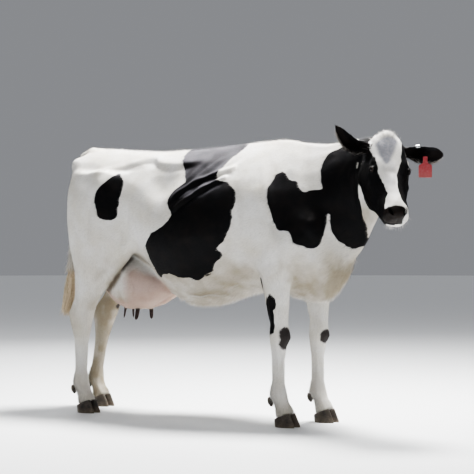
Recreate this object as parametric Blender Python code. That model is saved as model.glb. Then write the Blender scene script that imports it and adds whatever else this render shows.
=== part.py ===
"""A Holstein dairy cow at life size, standing square with her head turned to her right.

Metres, +Z up, the body along X with the head end at +X, +Y the cow's left. The flesh is lofted
form by form through oval sections, grown together by a voxel remesh, modelled with swells and
hollows at the bony landmarks, thinned, and then parted into its named pieces by thin cuts.
"""

import math
from collections import namedtuple

import bmesh
import bpy
import numpy as np
from mathutils import Matrix, Vector

# ---- Driving dimensions ----------------------------------------------------------------
GAP = 0.0003  # between two pieces that touch
VOXEL = 0.008  # of the remesh that grows the forms together
FLESH_TRIANGLES = 3350
FORE_FOOT_X = {"right": 0.366, "left": 0.403}  # where each cannon stands
HIND_FOOT_X = {"right": -0.915, "left": -1.085}
HIND_SLANT = {"right": 0.01, "left": 0.20}  # how far the cannon leans forward as it rises
FORE_TRACK = 0.155  # from the mid plane to each cannon
HIND_TRACK = 0.165
KNEE_HEIGHT = 0.445
HOCK_HEIGHT = 0.525
FETLOCK_HEIGHT = 0.16
CORONET_HEIGHT = 0.072  # at the toes
CORONET_SLOPE = 20  # degrees, down to the heels

POLL = Vector((0.986, -0.140, 1.446))  # top of the head, between the ears
HEAD_TURN, HEAD_DROP, HEAD_ROLL = -48, 51, -5  # degrees
EYE_AT = Vector((0.184, 0.083, -0.056))  # in the head's own frame, left side
FACE_LENGTH = 0.96  # the head is shortened by this about the eyes
EYE_RADIUS = 0.020
EAR_ROOT = {"left": (0.0465, 0.080, -0.055), "right": (0.0402, -0.078, -0.052)}
EAR_LENGTH = 0.200
EAR_OUT = {"left": (0.811, 0.568, -0.11), "right": (-0.736, -0.680, 0.070)}
EAR_OPEN = {"left": (0.55, -0.80, -0.15), "right": (0.67, -0.735, 0.100)}
EAR_BEND = {"left": 0.0, "right": math.radians(-49)}  # her right ear is pricked up from halfway
BEND_START, BEND_END = 0.055, 0.125  # along the ear
CLAW_WIDTH, CLEFT = 0.047, 0.005
TAG_ALONG, TAG_BELOW = 0.112, 0.026  # where the tag's stud goes through the left ear

SIDES = {"left": 1, "right": -1}

HEAD = (
    Matrix.Translation(POLL)
    @ Matrix.Rotation(math.radians(HEAD_TURN), 4, "Z")
    @ Matrix.Rotation(math.radians(HEAD_DROP), 4, "Y")
    @ Matrix.Rotation(math.radians(HEAD_ROLL), 4, "X")
    @ Matrix.Translation((EYE_AT[0], 0, 0))
    @ Matrix.Scale(FACE_LENGTH, 4, (1, 0, 0))
    @ Matrix.Translation((-EYE_AT[0], 0, 0))
)

# A section of a loft: its centre, which way it faces, how far it reaches above and below the
# centre, its half widths near the top, at the middle and near the bottom, and its squareness
# (2 is an oval, more is boxier).
Section = namedtuple("Section", "x y z pitch yaw above below upper middle lower square")

WHITE, PINK, HORN = (0.86, 0.84, 0.80), (0.80, 0.62, 0.55), (0.16, 0.14, 0.12)


# ---- Materials and mesh helpers ----------------------------------------------------------
def material(name, colour, roughness, metallic=0.0):
    made = bpy.data.materials.new(name)
    made.use_nodes = True
    shader = made.node_tree.nodes["Principled BSDF"]
    shader.inputs["Base Color"].default_value = (*colour, 1)
    shader.inputs["Roughness"].default_value = roughness
    shader.inputs["Metallic"].default_value = metallic
    made.diffuse_color = (*colour, 1)
    return made


def new_object(name, mesh):
    made = bpy.data.objects.new(name, mesh)
    bpy.context.scene.collection.objects.link(made)
    return made


def mesh_from(name, points, faces):
    mesh = bpy.data.meshes.new(name)
    mesh.from_pydata([tuple(p) for p in points], [], faces)
    mesh.update()
    return mesh


def evaluated(thing):
    """The object with its modifiers applied."""
    graph = bpy.context.evaluated_depsgraph_get()
    mesh = bpy.data.meshes.new_from_object(thing.evaluated_get(graph))
    thing.modifiers.clear()
    thing.data = mesh
    return thing


def joined(name, things):
    """One object holding the meshes of several, which are removed."""
    whole = bmesh.new()
    for thing in things:
        thing.data.transform(thing.matrix_world)
        whole.from_mesh(thing.data)
        bpy.data.objects.remove(thing)
    mesh = bpy.data.meshes.new(name)
    whole.to_mesh(mesh)
    whole.free()
    return new_object(name, mesh)


def points_of(thing):
    flat = np.empty(len(thing.data.vertices) * 3, np.float32)
    thing.data.vertices.foreach_get("co", flat)
    return flat.reshape(-1, 3).astype(float)


def normals_of(thing):
    flat = np.empty(len(thing.data.vertices) * 3, np.float32)
    thing.data.vertices.foreach_get("normal", flat)
    return flat.reshape(-1, 3).astype(float)


def put_points(thing, points):
    thing.data.vertices.foreach_set("co", points.astype(np.float32).ravel())
    thing.data.update()


# ---- Lofts -------------------------------------------------------------------------------
def spline(rows, steps):
    """Rows of numbers made denser along a Catmull-Rom curve."""
    rows = np.array(rows, float)
    padded = np.vstack([2 * rows[0] - rows[1], rows, 2 * rows[-1] - rows[-2]])
    out = []
    for a, b, c, d in zip(padded, padded[1:], padded[2:], padded[3:]):
        for t in np.arange(steps) / steps:
            out.append(
                0.5 * (2 * b + (c - a) * t + (2 * a - 5 * b + 4 * c - d) * t**2
                       + (3 * b - a - 3 * c + d) * t**3)
            )
    return np.vstack([out, rows[-1]])


def ring(section, sides):
    """The points round one section."""
    s = Section(*section)
    pitch, yaw = math.radians(s.pitch), math.radians(s.yaw)
    left = np.array((-math.sin(yaw), math.cos(yaw), 0))
    up = np.array((-math.sin(pitch) * math.cos(yaw), -math.sin(pitch) * math.sin(yaw), math.cos(pitch)))
    centre = np.array((s.x, s.y, s.z))
    points = []
    for turn in np.arange(sides) * 2 * math.pi / sides:
        c, w = math.cos(turn), math.sin(turn)
        reach = s.above if c > 0 else s.below
        edge = s.upper if c > 0 else s.lower
        width = s.middle * w * w + edge * c * c
        power = 2 / s.square
        points.append(
            centre
            + up * reach * math.copysign(abs(c) ** power, c)
            + left * width * math.copysign(abs(w) ** power, w)
        )
    return points


def loft(name, sections, sides=32, steps=5):
    """A closed form through oval sections, as a skin pulled over frames."""
    rows = spline(sections, steps)
    points = [p for row in rows for p in ring(row, sides)]
    faces = []
    for i in range(len(rows) - 1):
        for k in range(sides):
            a, b = i * sides + k, i * sides + (k + 1) % sides
            faces.append((a, b, b + sides, a + sides))
    last = (len(rows) - 1) * sides
    faces.append(tuple(reversed(range(sides))))
    faces.append(tuple(range(last, last + sides)))
    made = new_object(name, mesh_from(name, points, faces))
    rounded = bmesh.new()
    rounded.from_mesh(made.data)
    bmesh.ops.recalc_face_normals(rounded, faces=rounded.faces)
    rounded.to_mesh(made.data)
    rounded.free()
    return made


def mirrored(sections, side):
    """Sections drawn for the left side, put on the side asked for."""
    sign = SIDES[side]
    return [s._replace(y=s.y * sign, yaw=s.yaw * sign) for s in sections]


# ---- The forms ---------------------------------------------------------------------------
def barrel():
    """Rump, barrel and chest: x, back, underline, half widths high, middle and low, squareness."""
    stations = [
        (-1.000, 1.390, 1.180, 0.100, 0.130, 0.100, 2.4),
        (-0.982, 1.416, 1.120, 0.115, 0.160, 0.125, 2.4),
        (-0.930, 1.434, 1.060, 0.120, 0.192, 0.150, 2.4),
        (-0.820, 1.432, 0.960, 0.130, 0.222, 0.170, 2.3),
        (-0.660, 1.418, 0.860, 0.155, 0.250, 0.190, 2.3),
        (-0.480, 1.408, 0.760, 0.215, 0.272, 0.200, 2.3),
        (-0.330, 1.412, 0.620, 0.235, 0.312, 0.240, 2.15),
        (-0.140, 1.422, 0.592, 0.225, 0.355, 0.270, 2.1),
        (0.040, 1.434, 0.640, 0.195, 0.350, 0.265, 2.1),
        (0.180, 1.442, 0.672, 0.155, 0.305, 0.235, 2.1),
        (0.310, 1.442, 0.662, 0.115, 0.262, 0.215, 2.1),
        (0.440, 1.420, 0.632, 0.095, 0.232, 0.200, 2.1),
        (0.550, 1.340, 0.626, 0.085, 0.195, 0.145, 2.1),
        (0.640, 1.210, 0.690, 0.070, 0.130, 0.070, 2.1),
        (0.700, 1.080, 0.780, 0.040, 0.060, 0.034, 2.0),
    ]
    sections = []
    for x, back, under, high, middle, low, square in stations:
        waist = under + 0.46 * (back - under)
        sections.append(
            Section(x, 0, waist, 0, 0, back - waist, waist - under, high, middle, low, square)
        )
    return loft("barrel", sections, sides=48)


def neck():
    """From between the shoulders to the back of the head, bending to the right."""
    sections = [
        Section(0.38, 0.000, 1.07, 8, 0, 0.370, 0.400, 0.090, 0.205, 0.150, 2.0),
        Section(0.52, 0.000, 1.10, 14, -3, 0.340, 0.370, 0.075, 0.165, 0.085, 2.0),
        Section(0.65, -0.010, 1.16, 20, -12, 0.280, 0.325, 0.062, 0.125, 0.045, 2.0),
        Section(0.77, -0.040, 1.23, 22, -24, 0.218, 0.270, 0.058, 0.104, 0.036, 2.0),
        Section(0.87, -0.080, 1.28, 18, -34, 0.172, 0.215, 0.060, 0.094, 0.040, 2.1),
        Section(0.93, -0.105, 1.33, 12, -40, 0.118, 0.140, 0.058, 0.082, 0.048, 2.1),
    ]
    return loft("neck", sections)


def head():
    """Poll to muzzle, drawn lying along its own x axis: x, crown, jaw, half widths, squareness."""
    stations = [
        (-0.046, -0.040, -0.120, 0.030, 0.045, 0.040, 2.0),
        (-0.030, -0.012, -0.175, 0.052, 0.072, 0.055, 2.1),
        (0.005, 0.008, -0.225, 0.084, 0.094, 0.064, 2.3),
        (0.060, 0.010, -0.268, 0.103, 0.103, 0.072, 2.5),
        (0.122, 0.002, -0.290, 0.114, 0.108, 0.079, 2.6),
        (0.176, -0.008, -0.292, 0.118, 0.107, 0.081, 2.7),
        (0.218, -0.012, -0.284, 0.100, 0.101, 0.079, 2.5),
        (0.264, -0.018, -0.266, 0.076, 0.091, 0.075, 2.4),
        (0.314, -0.021, -0.242, 0.062, 0.081, 0.070, 2.4),
        (0.366, -0.022, -0.213, 0.055, 0.073, 0.064, 2.4),
        (0.414, -0.018, -0.186, 0.056, 0.069, 0.058, 2.4),
        (0.450, -0.022, -0.163, 0.055, 0.063, 0.048, 2.6),
        (0.476, -0.036, -0.143, 0.048, 0.056, 0.039, 2.6),
        (0.490, -0.058, -0.118, 0.032, 0.038, 0.026, 2.4),
    ]
    sections = []
    for x, crown, jaw, upper, middle, lower, square in stations:
        centre = 0.5 * (crown + jaw)
        sections.append(
            Section(x, 0, centre, 0, 0, crown - centre, centre - jaw, upper, middle, lower, square)
        )
    made = loft("head", sections, sides=36)
    made.data.transform(HEAD)
    return made


def leg_section(x, y, z, fore, aft, front, middle, rear, square=2.1):
    """A level section of a leg, reaching fore and aft of its centre."""
    return Section(x, y, z, -90, 0, fore, aft, front, middle, rear, square)


def foreleg(side):
    x = FORE_FOOT_X[side]
    lean = x - 0.375
    y = FORE_TRACK
    sections = [
        leg_section(0.470 + 0.3 * lean, y + 0.010, 1.060, 0.150, 0.130, 0.060, 0.075, 0.060),
        leg_section(0.440 + 0.4 * lean, y + 0.028, 0.940, 0.140, 0.130, 0.070, 0.075, 0.060),
        leg_section(0.395 + 0.5 * lean, y + 0.032, 0.840, 0.115, 0.115, 0.066, 0.074, 0.055),
        leg_section(0.365 + 0.6 * lean, y + 0.026, 0.760, 0.095, 0.092, 0.058, 0.068, 0.045),
        leg_section(0.366 + 0.7 * lean, y + 0.018, 0.680, 0.084, 0.076, 0.052, 0.063, 0.042),
        leg_section(0.368 + 0.8 * lean, y + 0.010, 0.600, 0.072, 0.064, 0.047, 0.056, 0.038),
        leg_section(x, y + 0.004, 0.530, 0.058, 0.053, 0.043, 0.049, 0.036),
        leg_section(x, y, KNEE_HEIGHT + 0.035, 0.057, 0.050, 0.046, 0.052, 0.040),
        leg_section(x + 0.002, y, KNEE_HEIGHT, 0.058, 0.052, 0.049, 0.054, 0.042, 2.3),
        leg_section(x, y, KNEE_HEIGHT - 0.045, 0.044, 0.048, 0.040, 0.045, 0.036),
        leg_section(x, y, 0.330, 0.032, 0.040, 0.029, 0.033, 0.026),
        leg_section(x, y, 0.230, 0.031, 0.040, 0.029, 0.033, 0.026),
        leg_section(x + 0.001, y, FETLOCK_HEIGHT + 0.020, 0.038, 0.047, 0.036, 0.042, 0.036),
        leg_section(x + 0.004, y, FETLOCK_HEIGHT - 0.008, 0.041, 0.052, 0.040, 0.047, 0.041),
    ]
    return loft("foreleg_" + side, mirrored(sections + foot(x, y), side), sides=24)


def hind_x(side, z):
    """Where the hind cannon's middle line is at a height."""
    return HIND_FOOT_X[side] + HIND_SLANT[side] * (z - FETLOCK_HEIGHT)


def hindleg(side):
    lean = hind_x(side, HOCK_HEIGHT) + 0.911
    y = HIND_TRACK
    thigh = [
        (-0.690, 0.0, -0.020, 1.310, 0.180, 0.300, 0.060, 0.092, 0.070),
        (-0.715, 0.1, 0.014, 1.190, 0.205, 0.282, 0.070, 0.094, 0.072),
        (-0.725, 0.2, 0.030, 1.070, 0.215, 0.266, 0.070, 0.092, 0.068),
        (-0.735, 0.3, 0.036, 0.950, 0.225, 0.240, 0.066, 0.088, 0.064),
        (-0.745, 0.4, 0.036, 0.860, 0.215, 0.212, 0.060, 0.078, 0.058),
        (-0.775, 0.5, 0.028, 0.780, 0.165, 0.168, 0.050, 0.066, 0.048),
        (-0.820, 0.7, 0.018, 0.700, 0.122, 0.124, 0.044, 0.056, 0.036),
        (-0.865, 0.8, 0.010, 0.625, 0.094, 0.094, 0.041, 0.048, 0.026),
        (-0.893, 1.0, 0.004, 0.570, 0.078, 0.090, 0.041, 0.045, 0.024),
    ]
    sections = [
        leg_section(x + share * lean, y + out, *sizes) for x, share, out, *sizes in thigh
    ]
    shank = [
        (0.004, HOCK_HEIGHT - 0.005, 0.072, 0.092, 0.043, 0.048, 0.030),
        (0.000, HOCK_HEIGHT - 0.055, 0.058, 0.074, 0.040, 0.046, 0.032),
        (0.000, 0.400, 0.043, 0.051, 0.033, 0.037, 0.029),
        (0.000, 0.315, 0.036, 0.043, 0.029, 0.033, 0.027),
        (0.000, 0.230, 0.035, 0.043, 0.030, 0.034, 0.028),
        (0.002, FETLOCK_HEIGHT + 0.022, 0.040, 0.049, 0.036, 0.042, 0.036),
        (0.006, FETLOCK_HEIGHT - 0.006, 0.042, 0.052, 0.040, 0.047, 0.041),
    ]
    sections += [leg_section(hind_x(side, z) + x, y, z, *sizes) for x, z, *sizes in shank]
    return loft("hindleg_" + side, mirrored(sections + foot(HIND_FOOT_X[side], y), side), sides=24)


def foot(x, y):
    """The pastern, to below where the hoof begins."""
    return [
        leg_section(x + 0.022, y, 0.112, 0.040, 0.044, 0.038, 0.043, 0.038),
        leg_section(x + 0.036, y, 0.078, 0.048, 0.048, 0.044, 0.051, 0.046),
        leg_section(x + 0.044, y, 0.030, 0.050, 0.052, 0.044, 0.052, 0.048),
    ]


def tail():
    """The hanging tail from its root on the rump, as far as the switch."""
    path = [
        (-0.900, 0.000, 1.400, 0.036, 0.046), (-0.965, 0.000, 1.412, 0.036, 0.042),
        (-1.020, 0.000, 1.392, 0.033, 0.037), (-1.050, -0.002, 1.335, 0.030, 0.033),
        (-1.062, -0.006, 1.250, 0.027, 0.030), (-1.066, -0.014, 1.130, 0.024, 0.026),
        (-1.068, -0.026, 1.010, 0.021, 0.023), (-1.070, -0.044, 0.910, 0.019, 0.021),
        (-1.074, -0.062, 0.820, 0.018, 0.019), (-1.078, -0.072, 0.765, 0.017, 0.018),
    ]
    sections = []
    for i, (x, y, z, deep, wide) in enumerate(path):
        before, after = path[max(i - 1, 0)], path[min(i + 1, len(path) - 1)]
        pitch = math.degrees(math.atan2(after[2] - before[2], before[0] - after[0]))
        sections.append(Section(x, y, z, pitch, 180, deep, deep, wide, wide, wide, 2))
    return loft("tail", sections, sides=12, steps=1)


def switch():
    """The brush of long hair at the tail's end."""
    path = [
        (-1.078, -0.072, 0.780, 0.012), (-1.079, -0.075, 0.755, 0.026), (-1.080, -0.080, 0.710, 0.038),
        (-1.080, -0.084, 0.655, 0.043), (-1.079, -0.084, 0.600, 0.038), (-1.077, -0.080, 0.550, 0.025),
        (-1.075, -0.078, 0.515, 0.008),
    ]
    sections = [leg_section(x, y, z, r, r, r, 0.85 * r, r, 2) for x, y, z, r in path]
    return loft("tail_switch", sections, sides=12, steps=2)


def udder():
    """The bag, hung from the belly between the thighs."""
    stations = [
        (-0.890, 1.000, 0.800, 0.070), (-0.840, 0.960, 0.700, 0.110), (-0.780, 0.920, 0.600, 0.140),
        (-0.700, 0.880, 0.560, 0.158), (-0.620, 0.860, 0.556, 0.168), (-0.540, 0.820, 0.572, 0.158),
        (-0.470, 0.780, 0.602, 0.130), (-0.410, 0.740, 0.640, 0.085),
    ]
    sections = []
    for x, top, floor, wide in stations:
        waist = floor + 0.42 * (top - floor)
        sections.append(
            Section(x, 0, waist, 0, 0, top - waist, waist - floor, 0.8 * wide, wide, 0.86 * wide, 2.3)
        )
    return loft("udder", sections, sides=32)


TEATS = {"fore": (-0.607, 0.056, 0.582), "rear": (-0.712, 0.030, 0.582)}  # where each hangs from


def teat(end, side):
    x, y, z = TEATS[end]
    path = [
        (0.020, 0.0135), (-0.010, 0.0130), (-0.040, 0.0115), (-0.062, 0.0105), (-0.074, 0.0075),
        (-0.078, 0.0030),
    ]
    sections = [
        leg_section(x + 0.10 * drop, y - 0.15 * drop, z + drop, r, r, r, r, r, 2) for drop, r in path
    ]
    return loft(f"teat_{end}_{side}", mirrored(sections, side), sides=10, steps=1)


EAR_STATIONS = {  # along the ear, half width, depth; her right ear is folded to a point
    "left": [
        (-0.020, 0.018, 0.017), (0.000, 0.019, 0.018), (0.028, 0.026, 0.016), (0.065, 0.039, 0.012),
        (0.105, 0.045, 0.009), (0.145, 0.043, 0.0075), (0.172, 0.034, 0.006), (0.190, 0.019, 0.005),
        (EAR_LENGTH, 0.006, 0.0035),
    ],
    "right": [
        (-0.020, 0.018, 0.017), (0.000, 0.020, 0.018), (0.028, 0.028, 0.016), (0.065, 0.038, 0.012),
        (0.105, 0.042, 0.009), (0.148, 0.034, 0.0075), (0.178, 0.024, 0.006), (0.200, 0.014, 0.005),
        (1.07 * EAR_LENGTH, 0.005, 0.0035),
    ],
}


def bent(points, angle):
    """Turns the outer part of an ear about its z axis, evenly between two stations."""
    turn = angle * np.clip((points[:, 0] - BEND_START) / (BEND_END - BEND_START), 0, 1)
    radius = (BEND_END - BEND_START) / angle
    beyond = np.maximum(points[:, 0] - BEND_END, 0)
    middle_x = np.where(turn == 0, points[:, 0], BEND_START + radius * np.sin(turn) + beyond * np.cos(turn))
    middle_y = radius * (1 - np.cos(turn)) + beyond * np.sin(turn)
    across = points[:, 1]
    return np.stack([middle_x - across * np.sin(turn), middle_y + across * np.cos(turn), points[:, 2]], axis=1)


def ear(side):
    """A broad leaf, cupped towards its opening, drawn along its own x axis and then hung."""
    stations = EAR_STATIONS[side]
    sections = [Section(x, 0, 0, 0, 0, deep, deep, wide, wide, wide, 2) for x, wide, deep in stations]
    made = loft(f"ear_{side}", sections, sides=16, steps=1)
    points = points_of(made)
    along = np.clip(points[:, 0] / EAR_LENGTH, 0, 1)
    cup = 7.0 * np.sin(np.pi * np.minimum(0.9 * along + 0.1, 1)) + 1.0
    points[:, 2] += cup * points[:, 1] ** 2 - 0.06 * points[:, 0] * along
    points[:, 1] -= SIDES[side] * 0.010 * np.sin(np.pi * along)
    if EAR_BEND[side]:
        points = bent(points, EAR_BEND[side])
    put_points(made, points)
    made.data.transform(ear_frame(side))
    return made


def hang(root, out, up):
    """A frame at a root, with x along `out` and z near `up`."""
    x = Vector(out).normalized()
    z = (Vector(up) - x * x.dot(Vector(up))).normalized()
    y = z.cross(x)
    frame = Matrix((x, y, z)).transposed().to_4x4()
    frame.translation = root
    return frame


def eye(side):
    work = bmesh.new()
    bmesh.ops.create_icosphere(work, subdivisions=2, radius=EYE_RADIUS)
    mesh = bpy.data.meshes.new("eye")
    work.to_mesh(mesh)
    work.free()
    x, y, z = EYE_AT
    mesh.transform(HEAD @ Matrix.Translation((x, SIDES[side] * y, z)))
    return new_object(f"eye_{side}", mesh)


def claw(name, x, y, side, inner):
    """One half of a cloven hoof, flat underneath; `inner` is -1 for the half next to the body."""
    wide = 0.5 * CLAW_WIDTH
    middle = y + inner * (wide + 0.5 * CLEFT)
    sections = [
        leg_section(x + 0.046, middle, 0.0, 0.066, 0.050, 0.5 * wide, wide, 0.80 * wide, 2.2),
        leg_section(x + 0.045, middle, 0.012, 0.064, 0.052, 0.5 * wide, 1.02 * wide, 0.85 * wide, 2.2),
        leg_section(x + 0.041, middle, 0.040, 0.054, 0.050, 0.55 * wide, wide, 0.85 * wide, 2.2),
        leg_section(x + 0.036, middle, 0.075, 0.042, 0.046, 0.6 * wide, 0.95 * wide, 0.8 * wide, 2.2),
        leg_section(x + 0.034, middle, 0.090, 0.040, 0.044, 0.6 * wide, 0.92 * wide, 0.8 * wide, 2.2),
    ]
    return loft(name, mirrored(sections, side), sides=16, steps=1)


def dewclaw(name, x, y, side, inner):
    """The small horn behind the fetlock, on each side of the foot."""
    middle = y + inner * 0.024
    path = [(0.022, 0.007), (0.008, 0.014), (-0.010, 0.014), (-0.024, 0.005)]
    sections = [
        leg_section(x - 0.036 - 0.30 * drop, middle, FETLOCK_HEIGHT - 0.036 + drop, r, r, r, r, r, 2)
        for drop, r in path
    ]
    return loft(name, mirrored(sections, side), sides=8, steps=1)


def ear_frame(side):
    """The ear's own frame: x along it, z out of its opening."""
    return hang(HEAD @ Vector(EAR_ROOT[side]), EAR_OUT[side], EAR_OPEN[side])


def rod(name, frame, radius, low, high, sides=16):
    """A cylinder along a frame's z axis."""
    work = bmesh.new()
    middle = Matrix.Translation((0, 0, (low + high) / 2))
    bmesh.ops.create_cone(work, cap_ends=True, segments=sides, radius1=radius, radius2=radius,
                          depth=high - low, matrix=frame @ middle)
    mesh = bpy.data.meshes.new(name)
    work.to_mesh(mesh)
    work.free()
    return new_object(name, mesh)


def tag():
    """The panel hung in front of the left ear, and the stud and button that hold it from behind."""
    ear = ear_frame("left")
    hole = ear @ Vector((TAG_ALONG, -TAG_BELOW, 0.0))
    frame = hang(hole, (0.819, 0.574, 0.0), (0.574, -0.819, 0.0))
    half = [(0.012, 0.010), (0.011, -0.018), (0.016, -0.026), (0.032, -0.032), (0.032, -0.092)]
    outline = half + [(-y, z) for y, z in reversed(half)]
    work = bmesh.new()
    face = work.faces.new([work.verts.new((x, y, 0.021)) for x, y in outline])
    bmesh.ops.bevel(work, geom=list(face.verts), offset=0.005, segments=2, profile=0.5, affect="VERTICES")
    made = bmesh.ops.extrude_face_region(work, geom=list(work.faces))
    moved = [v for v in made["geom"] if isinstance(v, bmesh.types.BMVert)]
    bmesh.ops.translate(work, verts=moved, vec=(0, 0, 0.0020))
    bmesh.ops.recalc_face_normals(work, faces=work.faces)
    work.transform(frame)
    mesh = bpy.data.meshes.new("tag_panel")
    work.to_mesh(mesh)
    work.free()
    panel = new_object("tag_panel", mesh)
    boss = rod("boss", frame, 0.0065, 0.0195, 0.0250)
    boolean(panel, boss, "UNION")
    stud = rod("tag_stud", frame, 0.0030, -0.020, 0.0195 - GAP)
    button = rod("button", frame, 0.0140, -0.0245, -0.0195)
    boolean(stud, button, "UNION")
    for thing in (boss, button):
        bpy.data.objects.remove(thing)
    return panel, stud


def clip():
    """The small metal band folded over the left ear's upper edge."""
    ear = ear_frame("left")
    work = bmesh.new()
    place = ear @ Matrix.Translation((0.070, 0.030, 0.008)) @ Matrix.Rotation(math.radians(12), 4, "Z")
    bmesh.ops.create_cube(work, size=1, matrix=place @ Matrix.Diagonal((0.022, 0.014, 0.026, 1)))
    bmesh.ops.bevel(work, geom=list(work.edges), offset=0.003, segments=2, profile=0.5, affect="EDGES")
    mesh = bpy.data.meshes.new("ear_clip")
    work.to_mesh(mesh)
    work.free()
    return new_object("ear_clip", mesh)


# ---- Modelling the grown flesh -----------------------------------------------------------
def bell(points, centre, reach):
    """1 at the centre, falling to 0 over the reach, which may differ along each axis."""
    apart = (points - np.array(centre)) / np.array(reach)
    return np.exp(-2.0 * (apart**2).sum(1))


def swell(thing, marks):
    """Raises or sinks the surface at each mark: centre, reach, height."""
    points, normals = points_of(thing), normals_of(thing)
    shift = np.zeros(len(points))
    for centre, reach, height in marks:
        shift += height * bell(points, centre, reach)
    put_points(thing, points + normals * shift[:, None])


def soften(thing, zones, rounds):
    """Smooths the surface more inside the zones, where two forms grow together."""
    points = points_of(thing)
    weight = np.full(len(points), 0.12)
    for centre, reach in zones:
        weight = np.maximum(weight, bell(points, centre, reach))
    group = thing.vertex_groups.new(name="soft")
    for i, w in enumerate(weight):
        group.add([i], float(w), "REPLACE")
    smooth = thing.modifiers.new("soften", "SMOOTH")
    smooth.factor, smooth.iterations, smooth.vertex_group = 0.5, rounds, "soft"
    return evaluated(thing)


def both_sides(marks):
    """Each mark on the left, and its twin on the right."""
    return [((x, sign * y, z), *rest) for (x, y, z), *rest in marks for sign in (1, -1)]


def in_head(marks):
    """Marks drawn in the head's own frame, moved to the head."""
    return [(tuple(HEAD @ Vector(at)), *rest) for at, *rest in marks]


def body_marks():
    """Bone points, muscle masses and hollows of the body."""
    sided = [
        ((-0.455, 0.255, 1.345), (0.070, 0.080, 0.050), 0.042),  # hook bone
        ((-0.980, 0.120, 1.345), (0.060, 0.060, 0.060), 0.026),  # pin bone
        ((-0.700, 0.240, 1.230), (0.090, 0.080, 0.080), 0.018),  # thurl
        ((-0.610, 0.230, 1.330), (0.130, 0.090, 0.060), -0.022),  # hollow between hook and thurl
        ((-0.830, 0.225, 1.270), (0.090, 0.080, 0.100), -0.014),  # hollow between thurl and pin
        ((-0.320, 0.280, 1.220), (0.110, 0.120, 0.110), -0.045),  # hollow of the flank
        ((-0.285, 0.195, 1.375), (0.160, 0.060, 0.035), 0.012),  # edge of the loin
        ((-0.420, 0.330, 0.960), (0.080, 0.100, 0.120), -0.018),  # fold of the flank
        ((-0.535, 0.265, 0.900), (0.060, 0.070, 0.070), 0.016),  # stifle
        ((0.300, 0.250, 1.180), (0.060, 0.090, 0.170), 0.014),  # blade of the shoulder
        ((0.420, 0.230, 1.240), (0.090, 0.080, 0.090), -0.010),  # hollow before the blade
        ((0.595, 0.215, 0.985), (0.060, 0.070, 0.070), 0.022),  # point of the shoulder
        ((0.370, 0.255, 0.950), (0.110, 0.070, 0.090), 0.016),  # upper arm
        ((0.270, 0.215, 0.800), (0.045, 0.050, 0.045), 0.020),  # elbow
        ((0.180, 0.290, 0.980), (0.060, 0.090, 0.220), -0.012),  # hollow behind the shoulder
        ((0.700, 0.110, 1.080), (0.140, 0.070, 0.050), -0.014),  # groove of the throat vein
    ]
    middle = [
        ((0.330, 0.000, 1.450), (0.120, 0.060, 0.050), 0.008),  # withers
        ((-0.245, 0.000, 0.570), (0.050, 0.040, 0.040), 0.018),  # navel
        ((-0.965, 0.000, 1.150), (0.060, 0.045, 0.160), -0.030),  # cleft between the thighs
        ((0.780, -0.030, 0.970), (0.060, 0.040, 0.080), 0.014),  # dewlap
    ]
    ribs = []
    for n in range(7):
        x = 0.13 - 0.052 * n
        for z, lean in ((1.24, 0.030), (1.10, 0.0), (0.96, -0.030)):
            ribs.append(((x + lean, 0.335, z), (0.020, 0.120, 0.090), 0.0045))
    return both_sides(sided + ribs) + middle


def leg_marks():
    """Joints and tendons, which follow each foot."""
    marks = []
    for side, sign in SIDES.items():
        fore, hind = FORE_FOOT_X[side], HIND_FOOT_X[side]
        y, w = sign * FORE_TRACK, sign * HIND_TRACK
        marks += [
            ((fore + 0.050, y, KNEE_HEIGHT + 0.005), (0.030, 0.040, 0.036), 0.006),
            ((fore - 0.045, y, KNEE_HEIGHT + 0.015), (0.020, 0.025, 0.022), 0.007),
            ((fore, y + sign * 0.050, 0.610), (0.045, 0.030, 0.100), 0.006),
            ((hind - 0.085, w, HOCK_HEIGHT + 0.018), (0.022, 0.022, 0.026), 0.012),
            ((hind - 0.020, w + sign * 0.040, HOCK_HEIGHT + 0.060), (0.030, 0.030, 0.060), -0.012),
            ((hind - 0.020, w - sign * 0.040, HOCK_HEIGHT + 0.060), (0.030, 0.030, 0.060), -0.012),
            ((hind + 0.050, w, HOCK_HEIGHT - 0.020), (0.030, 0.036, 0.040), 0.006),
        ]
    return marks


def head_marks():
    """Brow, cheek, nostrils and lips, drawn on the left of the head."""
    sided = [
        ((0.160, 0.100, -0.020), (0.050, 0.036, 0.022), 0.009),  # brow over the eye
        ((0.186, 0.100, -0.058), (0.024, 0.030, 0.018), -0.006),  # socket
        ((0.100, 0.112, -0.070), (0.045, 0.040, 0.035), -0.008),  # temple
        ((0.250, 0.085, -0.100), (0.070, 0.030, 0.022), 0.007),  # crest of the cheek bone
        ((0.120, 0.092, -0.180), (0.070, 0.040, 0.060), 0.012),  # cheek muscle
        ((0.330, 0.066, -0.085), (0.050, 0.030, 0.030), -0.006),  # side of the nose
        ((0.472, 0.060, -0.042), (0.026, 0.026, 0.020), 0.007),  # flare of the nostril
        ((0.445, 0.070, -0.100), (0.040, 0.026, 0.020), 0.005),  # upper lip
    ]
    middle = [
        ((-0.005, 0.000, 0.010), (0.050, 0.055, 0.030), 0.012),  # crown of the poll
        ((0.230, 0.000, -0.012), (0.070, 0.045, 0.030), -0.005),  # dish of the face
        ((0.438, 0.000, -0.172), (0.040, 0.040, 0.024), 0.006),  # chin
    ]
    return in_head(both_sides(sided) + middle)


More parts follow.
